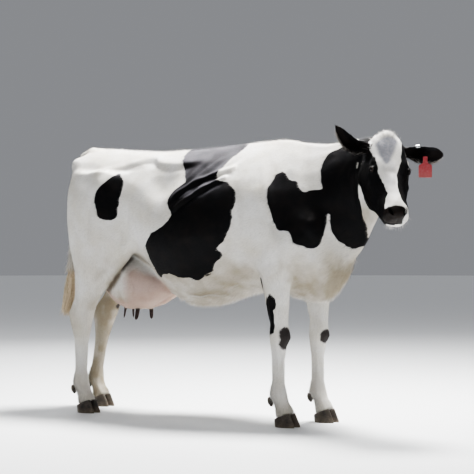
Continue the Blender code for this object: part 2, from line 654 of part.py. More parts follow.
def flesh():
    """Everything soft but the ears, the bag and the brush, as one thinned surface."""
    forms = [barrel(), neck(), head(), udder()]
    for side in SIDES:
        forms += [foreleg(side), hindleg(side)]
    whole = joined("flesh", forms)
    grow = whole.modifiers.new("grow", "REMESH")
    grow.mode, grow.voxel_size, grow.use_smooth_shade = "VOXEL", VOXEL, True
    evaluated(whole)
    zones = both_sides([
        ((0.480, 0.180, 0.980), (0.260, 0.140, 0.280)),  # shoulder
        ((0.360, 0.190, 0.780), (0.160, 0.120, 0.120)),  # armpit and elbow
        ((-0.640, 0.220, 1.060), (0.420, 0.140, 0.320)),  # thigh
        ((-0.420, 0.240, 0.860), (0.180, 0.140, 0.160)),  # flank
        ((0.100, 0.150, 0.700), (0.300, 0.200, 0.100)),  # chest floor
    ]) + [
        ((0.600, 0.000, 1.100), (0.260, 0.200, 0.420)),  # base of the neck
        ((0.900, -0.080, 1.250), (0.120, 0.120, 0.200)),  # throat
        ((0.900, -0.080, 1.440), (0.100, 0.090, 0.060)),  # nape
        ((-0.940, 0.000, 1.380), (0.100, 0.120, 0.100)),  # tail head
    ]
    soften(whole, zones, 34)
    swell(whole, body_marks() + leg_marks() + head_marks())
    ease = whole.modifiers.new("ease", "SMOOTH")
    ease.factor, ease.iterations = 0.4, 2
    evaluated(whole)
    return thin(whole, FLESH_TRIANGLES)


def thin(thing, triangles):
    """Fewer triangles, kept denser on the head."""
    thing.data.calc_loop_triangles()
    near_head = bell(points_of(thing), HEAD @ Vector((0.24, 0, -0.1)), (0.42, 0.42, 0.42))
    group = thing.vertex_groups.new(name="keep")
    for i, w in enumerate(near_head):
        group.add([i], float(w), "REPLACE")
    fewer = thing.modifiers.new("thin", "DECIMATE")
    fewer.ratio = triangles / len(thing.data.loop_triangles)
    fewer.vertex_group, fewer.invert_vertex_group, fewer.vertex_group_factor = "keep", True, 0.04
    fewer.use_collapse_triangulate = True
    return evaluated(thing)


# ---- Parting -----------------------------------------------------------------------------
def fattened(thing, by=GAP):
    """A copy standing proud of the surface by the gap, for cutting a neighbour clear."""
    copy = new_object(thing.name + "_fat", thing.data.copy())
    push = copy.modifiers.new("push", "DISPLACE")
    push.strength, push.mid_level = by, 0.0
    return evaluated(copy)


def boolean(thing, other, operation):
    cut = thing.modifiers.new("cut", "BOOLEAN")
    cut.operation, cut.object, cut.solver = operation, other, "EXACT"
    return evaluated(thing)


def biggest_body(thing):
    """Keeps the largest of the separate bodies that a cut may leave."""
    work = bmesh.new()
    work.from_mesh(thing.data)
    work.faces.ensure_lookup_table()
    todo, bodies = set(work.faces), []
    while todo:
        seed = todo.pop()
        body, edge_of = {seed}, [seed]
        while edge_of:
            for edge in edge_of.pop().edges:
                for face in edge.link_faces:
                    if face in todo:
                        todo.discard(face)
                        body.add(face)
                        edge_of.append(face)
        bodies.append(body)
    bodies.sort(key=lambda b: sum(f.calc_area() for f in b))
    for body in bodies[:-1]:
        bmesh.ops.delete(work, geom=list(body), context="FACES")
    work.to_mesh(thing.data)
    work.free()
    return thing


def less(thing, *others):
    """The piece with a gap cut round each neighbour."""
    for other in others:
        cutter = fattened(other)
        boolean(thing, cutter, "DIFFERENCE")
        bpy.data.objects.remove(cutter)
    return biggest_body(thing)


def block(corners):
    """The convex block through the corners, for cutting with."""
    work = bmesh.new()
    for c in corners:
        work.verts.new(c)
    bmesh.ops.convex_hull(work, input=work.verts)
    bmesh.ops.recalc_face_normals(work, faces=work.faces)
    mesh = bpy.data.meshes.new("block")
    work.to_mesh(mesh)
    work.free()
    return new_object("block", mesh)


def taken(whole, name, corners, *more):
    """The piece of the whole inside the blocks, which the whole then lacks."""
    piece = new_object(name, whole.data.copy())
    cutter = block(corners)
    for extra in more:
        second = block(extra)
        boolean(cutter, second, "UNION")
        bpy.data.objects.remove(second)
    boolean(piece, cutter, "INTERSECT")
    wider = fattened(cutter)
    boolean(whole, wider, "DIFFERENCE")
    bpy.data.objects.remove(cutter)
    bpy.data.objects.remove(wider)
    biggest_body(whole)
    return biggest_body(piece)


def split(whole, name, at, towards):
    """Cuts off what lies beyond a plane as a piece of its own, leaving the gap between them."""
    at, towards = Vector(at), Vector(towards).normalized()
    piece = new_object(name, whole.data.copy())
    for thing, side in ((piece, 1), (whole, -1)):
        work = bmesh.new()
        work.from_mesh(thing.data)
        cut = bmesh.ops.bisect_plane(
            work, geom=[*work.verts, *work.edges, *work.faces], dist=1e-7,
            plane_co=at + towards * side * GAP / 2, plane_no=towards * side, clear_inner=True,
        )
        rim = [e for e in cut["geom_cut"] if isinstance(e, bmesh.types.BMEdge)]
        bmesh.ops.triangle_fill(work, edges=rim, use_beauty=True)
        bmesh.ops.recalc_face_normals(work, faces=work.faces)
        work.to_mesh(thing.data)
        work.free()
        biggest_body(thing)
    return piece


def part_flesh(whole):
    """The named pieces of flesh, from the head back."""
    pieces = []
    profile = [(-0.150, 0.12), (-0.150, -0.10), (0.120, -0.36), (0.62, -0.36), (0.62, 0.12)]
    corners = [HEAD @ Vector((x, y, z)) for x, z in profile for y in (-0.26, 0.26)]
    pieces.append(taken(whole, "head", corners))
    for side, sign in SIDES.items():
        slope = [(0.004, 0.560), (0.340, 0.900)]  # y, z: from the armpit outwards and up
        corners = [(x, sign * y, z) for y, z in slope for x in (0.150, 0.600)]
        corners += [(x, sign * y, -0.1) for y in (0.004, 0.340) for x in (0.150, 0.600)]
        leg = taken(whole, f"foreleg_{side}_forearm", corners)
        pieces += shank(leg, f"foreleg_{side}", KNEE_HEIGHT + 0.060, FORE_FOOT_X[side])
    before = [(x, y, z) for x, top in ((-0.33, 0.700), (-0.61, 0.784)) for z in (0.45, top)
              for y in (-0.24, 0.24)]
    between = [(x, y, z) for x, top in ((-0.60, 0.776), (-0.93, 0.880)) for z in (0.40, top)
               for y in (-0.126, 0.126)]
    pieces.append(taken(whole, "udder", before, between))
    for side, sign in SIDES.items():
        slope = [(0.004, 0.500), (0.380, 1.080)]
        corners = [(x, sign * y, z) for y, z in slope for x in (-1.30, -0.440)]
        corners += [(x, sign * y, -0.1) for y in (0.004, 0.380) for x in (-1.30, -0.70)]
        leg = taken(whole, f"hindleg_{side}_thigh", corners)
        pieces += shank(leg, f"hindleg_{side}", HOCK_HEIGHT + 0.075, hind_x(side, HOCK_HEIGHT))
    pieces.append(split(whole, "neck", (0.520, 0, 1.400), (0.80, 0, 0.24)))
    whole.name = "trunk"
    return pieces + [whole]


def shank(leg, name, joint, x):
    """Parts a leg below its upper piece into cannon and pastern, ending above the hoof."""
    cannon = split(leg, name + "_cannon", (x, 0, joint), (0, 0, -1))
    pastern = split(cannon, name + "_pastern", (x, 0, FETLOCK_HEIGHT + 0.030), (0, 0, -1))
    return [leg, cannon, pastern]


def coronet(x):
    """The slanting plane where the hoof meets the skin: a point on it and which way is down."""
    tilt = math.radians(CORONET_SLOPE)
    return (x + 0.080, 0, CORONET_HEIGHT), (math.sin(tilt), 0, -math.cos(tilt))


def feet(pieces):
    """Ends each pastern at its coronet and puts the two claws and the dewclaws there."""
    made = []
    for end, xs, track in (("fore", FORE_FOOT_X, FORE_TRACK), ("hind", HIND_FOOT_X, HIND_TRACK)):
        for side in SIDES:
            name, x = f"{end}leg_{side}", xs[side]
            pastern = next(p for p in pieces if p.name == name + "_pastern")
            at, down = coronet(x)
            bpy.data.objects.remove(split(pastern, "scrap", at, down))
            for half, inner in (("inner", -1), ("outer", 1)):
                horn = claw(f"{name}_claw_{half}", x, track, side, inner)
                bpy.data.objects.remove(split(horn, "scrap", at, [-d for d in down]))
                spur = dewclaw(f"{name}_dewclaw_{half}", x, track, side, inner)
                made += [horn, less(spur, pastern)]
    return made


def main():
    for thing in list(bpy.data.objects):
        bpy.data.objects.remove(thing)
    skin = {
        "white": material("coat_white", WHITE, 0.75), "pink": material("skin_pink", PINK, 0.6),
        "black": material("coat_black", (0.03, 0.028, 0.028), 0.6),
        "horn": material("hoof_horn", HORN, 0.5), "teat": material("teat_skin", (0.25, 0.17, 0.15), 0.6),
        "eye": material("eye_wet", (0.02, 0.015, 0.015), 0.08),
        "tag": material("tag_plastic", (0.62, 0.07, 0.09), 0.45),
        "metal": material("clip_metal", (0.80, 0.81, 0.82), 0.3, 1.0),
    }
    pieces = part_flesh(flesh())
    named = {piece.name: piece for piece in pieces}
    brush = switch()
    pieces += [less(tail(), named["trunk"], brush), brush]
    for side in SIDES:
        ball = eye(side)
        less(named["head"], ball)
        pieces.append(ball)
    panel, stud = tag()
    band = clip()
    for side in SIDES:
        leaf = less(ear(side), named["head"])
        if side == "left":
            less(band, leaf)
            less(leaf, stud)
        pieces.append(leaf)
    pieces += [panel, stud, band]
    for end in TEATS:
        for side in SIDES:
            pieces.append(less(teat(end, side), named["udder"]))
    pieces += feet(pieces)
    corners = np.array([c for piece in pieces for c in points_of(piece)])
    low, high = corners.min(0), corners.max(0)
    centre = Matrix.Translation((-(low[0] + high[0]) / 2, -(low[1] + high[1]) / 2, 0))
    print("middle of the floor area moved to the origin by", [round(v, 5) for v in centre.translation])
    for piece in pieces:
        piece.data.transform(centre)
        finish(piece, skin)


FINISH = [  # the first word found in a piece's name gives its material
    ("udder", "pink"), ("teat", "teat"), ("claw", "horn"), ("eye", "eye"), ("tag", "tag"),
    ("clip", "metal"), ("ear", "black"), ("", "white"),
]


def finish(piece, skin):
    """Gives the piece its material."""
    colour = next(colour for word, colour in FINISH if word in piece.name)
    piece.data.materials.clear()
    piece.data.materials.append(skin[colour])
    piece.data.name = piece.name


main()
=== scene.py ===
# %% [markdown]
# A life-size dairy cow, finished as a museum would finish one. The packed solids give every size and
# place; this script gives the skin, the coat, the eyes, the hooves and the light. Each step starts
# with a note like this one, then a short piece of code that you can run and change.

# %% Load the solids
import itertools
import math

import bmesh
import bpy
import numpy as np
from mathutils import Matrix, Vector
from mathutils.bvhtree import BVHTree


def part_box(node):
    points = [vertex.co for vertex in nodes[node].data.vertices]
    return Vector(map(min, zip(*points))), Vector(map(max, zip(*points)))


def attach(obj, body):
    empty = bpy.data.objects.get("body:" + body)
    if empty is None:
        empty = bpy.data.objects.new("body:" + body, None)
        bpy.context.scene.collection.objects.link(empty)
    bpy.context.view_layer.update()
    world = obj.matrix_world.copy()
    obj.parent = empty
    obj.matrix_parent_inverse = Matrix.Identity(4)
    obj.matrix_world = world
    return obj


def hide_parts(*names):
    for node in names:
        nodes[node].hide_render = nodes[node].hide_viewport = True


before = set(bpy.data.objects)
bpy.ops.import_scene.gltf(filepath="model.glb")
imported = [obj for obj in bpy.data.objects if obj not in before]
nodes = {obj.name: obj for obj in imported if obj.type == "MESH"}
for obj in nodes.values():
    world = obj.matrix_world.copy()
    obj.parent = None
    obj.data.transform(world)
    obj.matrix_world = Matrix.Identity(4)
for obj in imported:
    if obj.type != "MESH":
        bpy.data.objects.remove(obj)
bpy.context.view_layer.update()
print("solids:", len(nodes), "nodes")

# %% [markdown]
# The camera comes first, because every later choice is judged through it. It stands nine metres off,
# a little below the height of the back, and looks at the cow from 35 degrees ahead of her side.
# A long lens keeps her proportions true.

# %% Camera
VIEW_YAW = math.radians(35)
VIEW_DISTANCE = 9.0
EYE_LEVEL = 0.95
AIM = Vector((-0.02538, 0.00283, EYE_LEVEL))
LENS = 131.2

camera_data = bpy.data.cameras.new("camera")
camera_data.lens = LENS
camera_data.sensor_width = 36
camera = bpy.data.objects.new("camera", camera_data)
camera.location = AIM + VIEW_DISTANCE * Vector((math.sin(VIEW_YAW), -math.cos(VIEW_YAW), 0))
camera.rotation_euler = (math.radians(90), 0, VIEW_YAW)
bpy.context.scene.collection.objects.link(camera)
bpy.context.scene.camera = camera
print("camera at", tuple(round(c, 3) for c in camera.location))

# %% [markdown]
# A studio is a pale floor and a few large soft lamps. The strongest hangs overhead, a little beyond
# her as the camera sees it, so that her back is bright and her near side falls into soft shade. A weak
# lamp in front opens that shade, one at the back lifts her edge off the floor, and a wide sun keeps the
# floor pale to its rim. The floor is a disc, because a square's far edge looks tilted from most sides.

# %% Floor and light
FLOOR_RADIUS = 34

world = bpy.data.worlds.new("studio")
world.use_nodes = True
fill = world.node_tree.nodes["Background"]
fill.inputs["Color"].default_value = (0.93, 0.95, 1.0, 1)
fill.inputs["Strength"].default_value = 0.25
bpy.context.scene.world = world


def soft_lamp(name, place, aim, size, power, colour=(1, 1, 1)):
    data = bpy.data.lights.new(name, "AREA")
    data.shape = "DISK"
    data.size = size
    data.energy = power
    data.color = colour
    lamp = bpy.data.objects.new(name, data)
    lamp.location = place
    lamp.rotation_euler = (Vector(aim) - Vector(place)).to_track_quat("-Z", "Y").to_euler()
    bpy.context.scene.collection.objects.link(lamp)


soft_lamp("key", (3.0, -4.6, 5.2), (0.1, 0, 0.9), 2.0, 52, (1, 0.985, 0.96))
soft_lamp("sky", (0.1, 1.2, 4.9), (0, 0, 0.8), 1.6, 760, (1, 0.99, 0.97))
soft_lamp("rim", (-4.2, 3.6, 3.8), (0, 0, 0.9), 2.4, 130)
haze = bpy.data.lights.new("haze", "SUN")
haze.energy = 0.60
haze.angle = math.radians(60)
bpy.context.scene.collection.objects.link(bpy.data.objects.new("haze", haze))
bpy.context.scene.view_settings.look = "AgX - High Contrast"

floor_disc = bmesh.new()
bmesh.ops.create_circle(floor_disc, cap_ends=True, segments=96, radius=FLOOR_RADIUS)
floor_mesh = bpy.data.meshes.new("floor")
floor_disc.to_mesh(floor_mesh)
floor = bpy.data.objects.new("floor", floor_mesh)
bpy.context.scene.collection.objects.link(floor)
floor_paint = bpy.data.materials.new("studio_floor")
floor_paint.use_nodes = True
floor_shader = floor_paint.node_tree.nodes["Principled BSDF"]
floor_shader.inputs["Base Color"].default_value = (0.68, 0.69, 0.70, 1)
floor_shader.inputs["Roughness"].default_value = 0.8
floor.data.materials.append(floor_paint)
print("lights:", [light.name for light in bpy.data.lights])

# %% [markdown]
# Several steps below move thousands of points at once. NumPy does that in one go, so these helpers
# read a mesh's points, normals and edges as arrays and write the points back.

# %% Helpers for meshes
def points_of(mesh):
    flat = np.empty(3 * len(mesh.vertices))
    mesh.vertices.foreach_get("co", flat)
    return flat.reshape(-1, 3)


def face_centres(mesh):
    flat = np.empty(3 * len(mesh.polygons))
    mesh.polygons.foreach_get("center", flat)
    return flat.reshape(-1, 3)


def put_points(mesh, points):
    mesh.vertices.foreach_set("co", points.ravel())
    mesh.update()


def normals_of(mesh):
    flat = np.empty(3 * len(mesh.vertices))
    mesh.vertex_normals.foreach_get("vector", flat)
    return flat.reshape(-1, 3)


def edges_of(mesh):
    flat = np.empty(2 * len(mesh.edges), dtype=np.int64)
    mesh.edges.foreach_get("vertices", flat)
    return flat.reshape(-1, 2)


print("the floor has", len(points_of(floor_mesh)), "points and", len(edges_of(floor_mesh)), "edges")

# %% [markdown]
# A modifier changes what an object shows, not the mesh it holds. To go on from the changed shape, the
# mesh is read from the evaluated object and kept as a new one. Much of the work below is also evened
# out from point to point: a value mixed with its neighbours' a few times loses its hard edge.

# %% Helpers for objects
def shade_round(mesh):
    mesh.polygons.foreach_set("use_smooth", np.ones(len(mesh.polygons), bool))


def new_object(name, mesh):
    thing = bpy.data.objects.new(name, mesh)
    bpy.context.scene.collection.objects.link(thing)
    return thing


def modify(thing, name, kind, **settings):
    made = thing.modifiers.new(name, kind)
    for key, value in settings.items():
        setattr(made, key, value)
    return made


def evaluated(thing, name):
    """The object's mesh with its modifiers applied, as a new object; the old one goes."""
    graph = bpy.context.evaluated_depsgraph_get()
    mesh = bpy.data.meshes.new_from_object(thing.evaluated_get(graph))
    bpy.data.objects.remove(thing)
    return new_object(name, mesh)


def averaged(values, edges, rounds):
    """Each value mixed with its neighbours' mean, again and again."""
    count = np.bincount(edges.ravel(), minlength=len(values))[:, None].clip(1)
    values = values.reshape(len(values), -1)
    for _ in range(rounds):
        total = np.stack(
            [
                np.bincount(edges[:, 0], column[edges[:, 1]], len(values))
                + np.bincount(edges[:, 1], column[edges[:, 0]], len(values))
                for column in values.T
            ],
            axis=1,
        )
        values = 0.5 * values + 0.5 * total / count
    return values.squeeze()


spread = averaged(np.array([0.0, 1.0, 0.0]), np.array([(0, 1), (1, 2)]), 2)
print("a value of 1 between two zeros, evened out twice:", spread)

# %% [markdown]
# Every bump, hollow and marking of the cow is drawn with a few plain functions, such as a smooth step,
# a bell and a fine random grain. Each works on all the points at once. Sculpting by hand would look as
# good, but a drawn form can be read, moved and measured.

# %% Helpers for shapes
def grain(points, size, seed=0):
    """Smooth random bumps between -1 and 1, about `size` across."""
    cell = points / size + 31.7 * seed
    base = np.floor(cell).astype(np.int64)
    part = cell - base
    part = part * part * (3 - 2 * part)
    total = np.zeros(len(points))
    for corner in itertools.product((0, 1), repeat=3):
        x, y, z = (base + corner).T
        mixed = (x * 73856093) ^ (y * 19349663) ^ (z * 83492791)
        mixed = (mixed ^ (mixed >> 13)) * 1274126177 & 0xFFFFFFFF
        share = np.where(np.array(corner) == 1, part, 1 - part).prod(axis=1)
        total += share * (mixed / 2**31 - 1)
    return total


def step(values, low, high):
    """A smooth rise from 0 at `low` to 1 at `high`."""
    t = np.clip((values - low) / (high - low), 0, 1)
    return t * t * (3 - 2 * t)


def in_box(points, low, high):
    return ((points > np.array(low)) & (points < np.array(high))).all(axis=1)


def bell(points, centre, reach):
    """1 at the centre, fading to nothing a little past `reach` along each axis."""
    away = (points - np.array(centre)) / np.array(reach)
    return np.exp(-(away**2).sum(axis=1) * 1.2)


print("a smooth step from 0 to 1 at a quarter of the way:", float(step(0.25, 0, 1)))

# %% [markdown]
# Folds, veins and the rims of nostrils are lines. Each is a curve through a handful of points, and what
# it does to the skin depends on how far away a point is and how far along. A curve of the Catmull-Rom
# kind goes through its points, so they can be read straight off the animal.

# %% Helpers for curves
def through(rows, steps):
    """Points of a smooth curve through all the rows but the first and last, which only steer it."""
    return [
        0.5 * (2 * b + (c - a) * t + (2 * a - 5 * b + 4 * c - d) * t**2 + (3 * b - a - 3 * c + d) * t**3)
        for a, b, c, d in zip(rows, rows[1:], rows[2:], rows[3:])
        for t in np.arange(steps) / steps
    ]


def spline(rows, steps=8):
    """A smooth run through a few rows of numbers."""
    rows = np.array(rows, float)
    steered = np.vstack([2 * rows[0] - rows[1], rows, 2 * rows[-1] - rows[-2]])
    return np.array(through(steered, steps) + [rows[-1]])


def from_line(points, path):
    """How far each point is from a path, and how far along it, from 0 to 1."""
    best = np.full(len(points), np.inf)
    along = np.zeros(len(points))
    for n, (a, b) in enumerate(zip(path, path[1:])):
        t = np.clip((points - a) @ (b - a) / max((b - a) @ (b - a), 1e-12), 0, 1)
        away = np.linalg.norm(points - a - t[:, None] * (b - a), axis=1)
        nearer = away < best
        best[nearer] = away[nearer]
        along[nearer] = (n + t[nearer]) / (len(path) - 1)
    return best, along


print("a curve through 3 points is drawn with", len(spline([(0, 0), (1, 1), (2, 0)])), "points")

# %% [markdown]
# The head has a frame of its own, so that its parts can be described the way an anatomist would:
# x runs from the poll down to the muzzle, y to the cow's left, and z straight out of the face. Turning
# the frame turns the whole face, with its eyes, its markings and the lie of its hair.

# %% The frame of the head
POLL = Vector((0.95979, -0.13731, 1.446))
EYE_LINE = 0.184  # how far down the face the eyes are
FACE_LENGTH = 0.96  # all measures along the face are shortened by this, about the line of the eyes
HEAD = (
    Matrix.Translation(POLL)
    @ Matrix.Rotation(math.radians(-48), 4, "Z")
    @ Matrix.Rotation(math.radians(51), 4, "Y")
    @ Matrix.Rotation(math.radians(-5), 4, "X")
    @ Matrix.Translation((EYE_LINE, 0, 0))
    @ Matrix.Scale(FACE_LENGTH, 4, (1, 0, 0))
    @ Matrix.Translation((-EYE_LINE, 0, 0))
)
SIDES = {"left": 1, "right": -1}


def into(matrix, points):
    """World points in a frame's own coordinates."""
    inverse = np.array(matrix.inverted())
    return points @ inverse[:3, :3].T + inverse[:3, 3]


def out_of(matrix, points):
    """Points given in a frame's own coordinates, in the world's."""
    full = np.array(matrix)
    return np.asarray(points) @ full[:3, :3].T + full[:3, 3]


print("tip of the muzzle at", tuple(round(v, 3) for v in HEAD @ Vector((0.490, 0, -0.088))))

# %% [markdown]
# Each ear hangs in a frame of its own, x along it and z out of its cup. Her right ear is pricked up
# from halfway, so its points are first unrolled, as if the ear were straight. What is drawn on a
# straight ear then fits a bent one.

# %% The frames of the ears
EAR_LENGTH = 0.200
EAR_ROOT = {"left": (0.0465, 0.080, -0.055), "right": (0.0402, -0.078, -0.052)}
EAR_OUT = {"left": (0.811, 0.568, -0.11), "right": (-0.736, -0.680, 0.070)}
EAR_OPEN = {"left": (0.55, -0.80, -0.15), "right": (0.67, -0.735, 0.100)}
EAR_BEND = {"left": 0.0, "right": math.radians(-49)}  # her right ear is pricked up from halfway
BEND_START, BEND_END = 0.055, 0.125  # along the ear


def hang(root, out, up):
    """A frame at a root, with x along `out` and z near `up`."""
    x = Vector(out).normalized()
    z = (Vector(up) - x * x.dot(Vector(up))).normalized()
    made = Matrix((x, z.cross(x), z)).transposed().to_4x4()
    made.translation = root
    return made


EAR = {side: hang(HEAD @ Vector(EAR_ROOT[side]), EAR_OUT[side], EAR_OPEN[side]) for side in SIDES}


def in_ear(points, side):
    """Points along, across and out of an ear as if it were straight, and how far each was turned."""
    at = into(EAR[side], points)
    angle = EAR_BEND[side]
    if angle == 0:
        return at, np.zeros(len(at))
    radius = (BEND_END - BEND_START) / angle
    ahead, aside = at[:, 0] - BEND_START, radius - at[:, 1]
    turn = np.arctan2(-ahead, -aside)
    turn = np.where(ahead < 0, 0, np.maximum(turn, angle))
    end = np.array((BEND_START + radius * math.sin(angle), radius - radius * math.cos(angle)))
    beyond = (at[:, :2] - end) @ np.array((math.cos(angle), math.sin(angle)))
    past = (at[:, :2] - end) @ np.array((-math.sin(angle), math.cos(angle)))
    on_arc = (ahead >= 0) & (turn > angle)
    last = (ahead >= 0) & ~on_arc
    along = np.where(on_arc, BEND_START + radius * turn, np.where(last, BEND_END + beyond, at[:, 0]))
    across = np.where(on_arc, radius + np.hypot(ahead, aside), np.where(last, past, at[:, 1]))
    return np.stack([along, across, at[:, 2]], axis=1), turn


print("ears are rooted at", [tuple(round(v, 3) for v in EAR[side].translation) for side in SIDES])

# %% [markdown]
# Skin is one unbroken sheet, but the solids are cut into named parts. Copies of all the flesh parts
# are joined and remeshed with small voxels, which bridges the hair-thin cuts between them and leaves
# one closed surface. The alternative, stitching the parts edge to edge, breaks wherever two cuts meet.

# %% Grow the flesh together
FLESH = [
    name for name in nodes
    if not any(word in name for word in ("claw", "eye", "tag", "clip", "switch"))
]
FINE_VOXEL = 0.0050
VOXEL = FINE_VOXEL
EAR_PADDING = 0.004  # voxels would fray a thin rim, so ears are remeshed thick and thinned after
DOCK_LENGTH, DOCK_OVERLAP = 0.18, 0.020


def merged_copy(name):
    work = bmesh.new()
    work.from_mesh(nodes[name].data)
    bmesh.ops.remove_doubles(work, verts=work.verts, dist=1e-5)
    if name.startswith("ear_"):
        work.normal_update()
        for vertex in work.verts:
            vertex.co += EAR_PADDING * vertex.normal
    return work


def dock():
    """The bony end of the tail, which runs down inside the switch."""
    tail = points_of(nodes["tail"].data)
    end = Vector(tail[tail[:, 2] < tail[:, 2].min() + 0.004].mean(axis=0))
    work = bmesh.new()
    place = Matrix.Translation(end - Vector((0, 0.004, 0.5 * DOCK_LENGTH - DOCK_OVERLAP)))
    bmesh.ops.create_cone(
        work, cap_ends=True, segments=12, radius1=0.008, radius2=0.013, depth=DOCK_LENGTH, matrix=place
    )
    return work


whole = bmesh.new()
owners = []
for name in FLESH:
    part = merged_copy(name)
    mesh = bpy.data.meshes.new(name)
    part.to_mesh(mesh)
    owners += [name] * len(mesh.polygons)
    whole.from_mesh(mesh)
solid_tree = BVHTree.FromBMesh(whole)
for part in (dock(), merged_copy("eye_left"), merged_copy("eye_right")):  # the lids go over the eyes
    mesh = bpy.data.meshes.new("filling")
    part.to_mesh(mesh)
    whole.from_mesh(mesh)
mesh = bpy.data.meshes.new("skin")
whole.to_mesh(mesh)
skin = new_object("skin", mesh)
modify(skin, "grow", "REMESH", mode="VOXEL", voxel_size=VOXEL)
skin = evaluated(skin, "skin")
print("skin:", len(skin.data.polygons), "faces from", len(FLESH), "parts")

# %% [markdown]
# The solids have flat faces a few centimetres across. Smoothing melts them away, but it also shrinks
# whatever is thin. So each region has a strength of its own, from a full one on the broad trunk to
# almost none on the ears. The hair takes up room too, so the skin is later sunk by the coat's depth.

# %% How each region is smoothed
MID = 0.0028  # the body's middle plane, in y
FINE_ROUNDS = 150  # of smoothing at the fine voxel size
SMOOTHING = {
    "trunk": 1.0, "neck": 1.0, "udder": 0.5, "head": 0.26, "ear": 0.16, "tail": 0.14, "teat": 0.08,
    "forearm": 0.40, "thigh": 0.5, "cannon": 0.22, "pastern": 0.18,
}
COAT_DEPTH = {
    "trunk": 0.0035, "neck": 0.0035, "udder": 0.0010, "head": 0.0020, "ear": 0.0012 + EAR_PADDING,
    "tail": 0.0030, "teat": 0.0, "forearm": 0.0030, "thigh": 0.0030, "cannon": 0.0022, "pastern": 0.0026,
}
MELTED = [  # where two forms met in a step: centre, in y from the middle, and radius
    ((0.530, 0.175, 0.975), 0.150), ((0.720, 0.100, 1.080), 0.130), ((0.480, 0.200, 1.070), 0.150),
    ((-0.350, 0.245, 1.150), 0.140),
]


def part_values(table, points):
    """The table's value for the solid that each point lies on."""
    by_name = {name: next(v for k, v in table.items() if k in name) for name in set(owners)}
    nearest = [owners[solid_tree.find_nearest(p)[2]] for p in points]
    return np.array([by_name[name] for name in nearest])


def set_weights(thing, name, weights):
    """A vertex group written in a few bands, which is far quicker than point by point."""
    group = thing.vertex_groups.new(name=name)
    bands = np.round(weights * 50).astype(int)
    for band in np.unique(bands):
        group.add(np.nonzero(bands == band)[0].tolist(), band / 50, "REPLACE")
    return group


def smoothed_points(thing, rounds):
    """Where the points go when the object is smoothed, weighted by its group `smoothing`."""
    ease = modify(thing, "ease", "SMOOTH", factor=0.5, iterations=rounds, vertex_group="smoothing")
    graph = bpy.context.evaluated_depsgraph_get()
    made = thing.evaluated_get(graph)
    points = points_of(made.data)
    thing.modifiers.remove(ease)
    return points


print("regions:", ", ".join(SMOOTHING))

# %% [markdown]
# Even a weak smoothing draws a rounded form in a little each time. The shape is smoothed three times
# over, and from the three results the shrinking is worked out and put back: 3A - 3B + C keeps the broad
# forms and drops the facets. The few places where two forms met in a step are then melted further.

# %% Smooth the facets away
edges = edges_of(skin.data)
start = points_of(skin.data)
strength = averaged(part_values(SMOOTHING, start), edges, 12)
set_weights(skin, "smoothing", strength)
ROUNDS = int(FINE_ROUNDS * (FINE_VOXEL / VOXEL) ** 2)
passes = []
for _ in range(3):
    passes.append(smoothed_points(skin, ROUNDS))
    put_points(skin.data, passes[-1])
points = 3 * passes[0] - 3 * passes[1] + passes[2]
put_points(skin.data, points)
melting = np.zeros(len(points))
for (x, y, z), radius in MELTED:
    for side in (-1, 1):
        away = np.linalg.norm(points - np.array((x, MID + side * y, z)), axis=1)
        melting = np.maximum(melting, 1 - step(away, 0.4 * radius, radius))
skin.vertex_groups.clear()
set_weights(skin, "smoothing", melting)
points = smoothed_points(skin, 4 * ROUNDS)
put_points(skin.data, points)
moved = np.linalg.norm(points - start, axis=1)
depth = averaged(part_values(COAT_DEPTH, start), edges, 30)
points -= depth[:, None] * normals_of(skin.data)
put_points(skin.data, points)
print(f"smoothing moved the skin {1000 * moved.mean():.1f} mm on average, {1000 * moved.max():.1f} at most")

# %% [markdown]
# Under a cow's thin skin the bones and muscles show as soft ridges and hollows. Each is drawn here as
# a line on her side, seen square on: how wide it is and how high it stands, with a minus for a groove.
# The ribs come from one rule; the folds and the seams between muscles are placed one by one.

# %% Lines of the ribs, folds and muscles
RIB_TOPS = ((-0.040, 0.0040), (0.030, 0.0036), (0.102, 0.0030), (0.180, 0.0020))  # x, height


def rib(top):
    """A rib's line: it leaves the spine sloping back, and fades under the flank's muscles."""
    return [(top, 1.385), (top - 0.075, 1.310), (top - 0.145, 1.210), (top - 0.185, 1.090)]


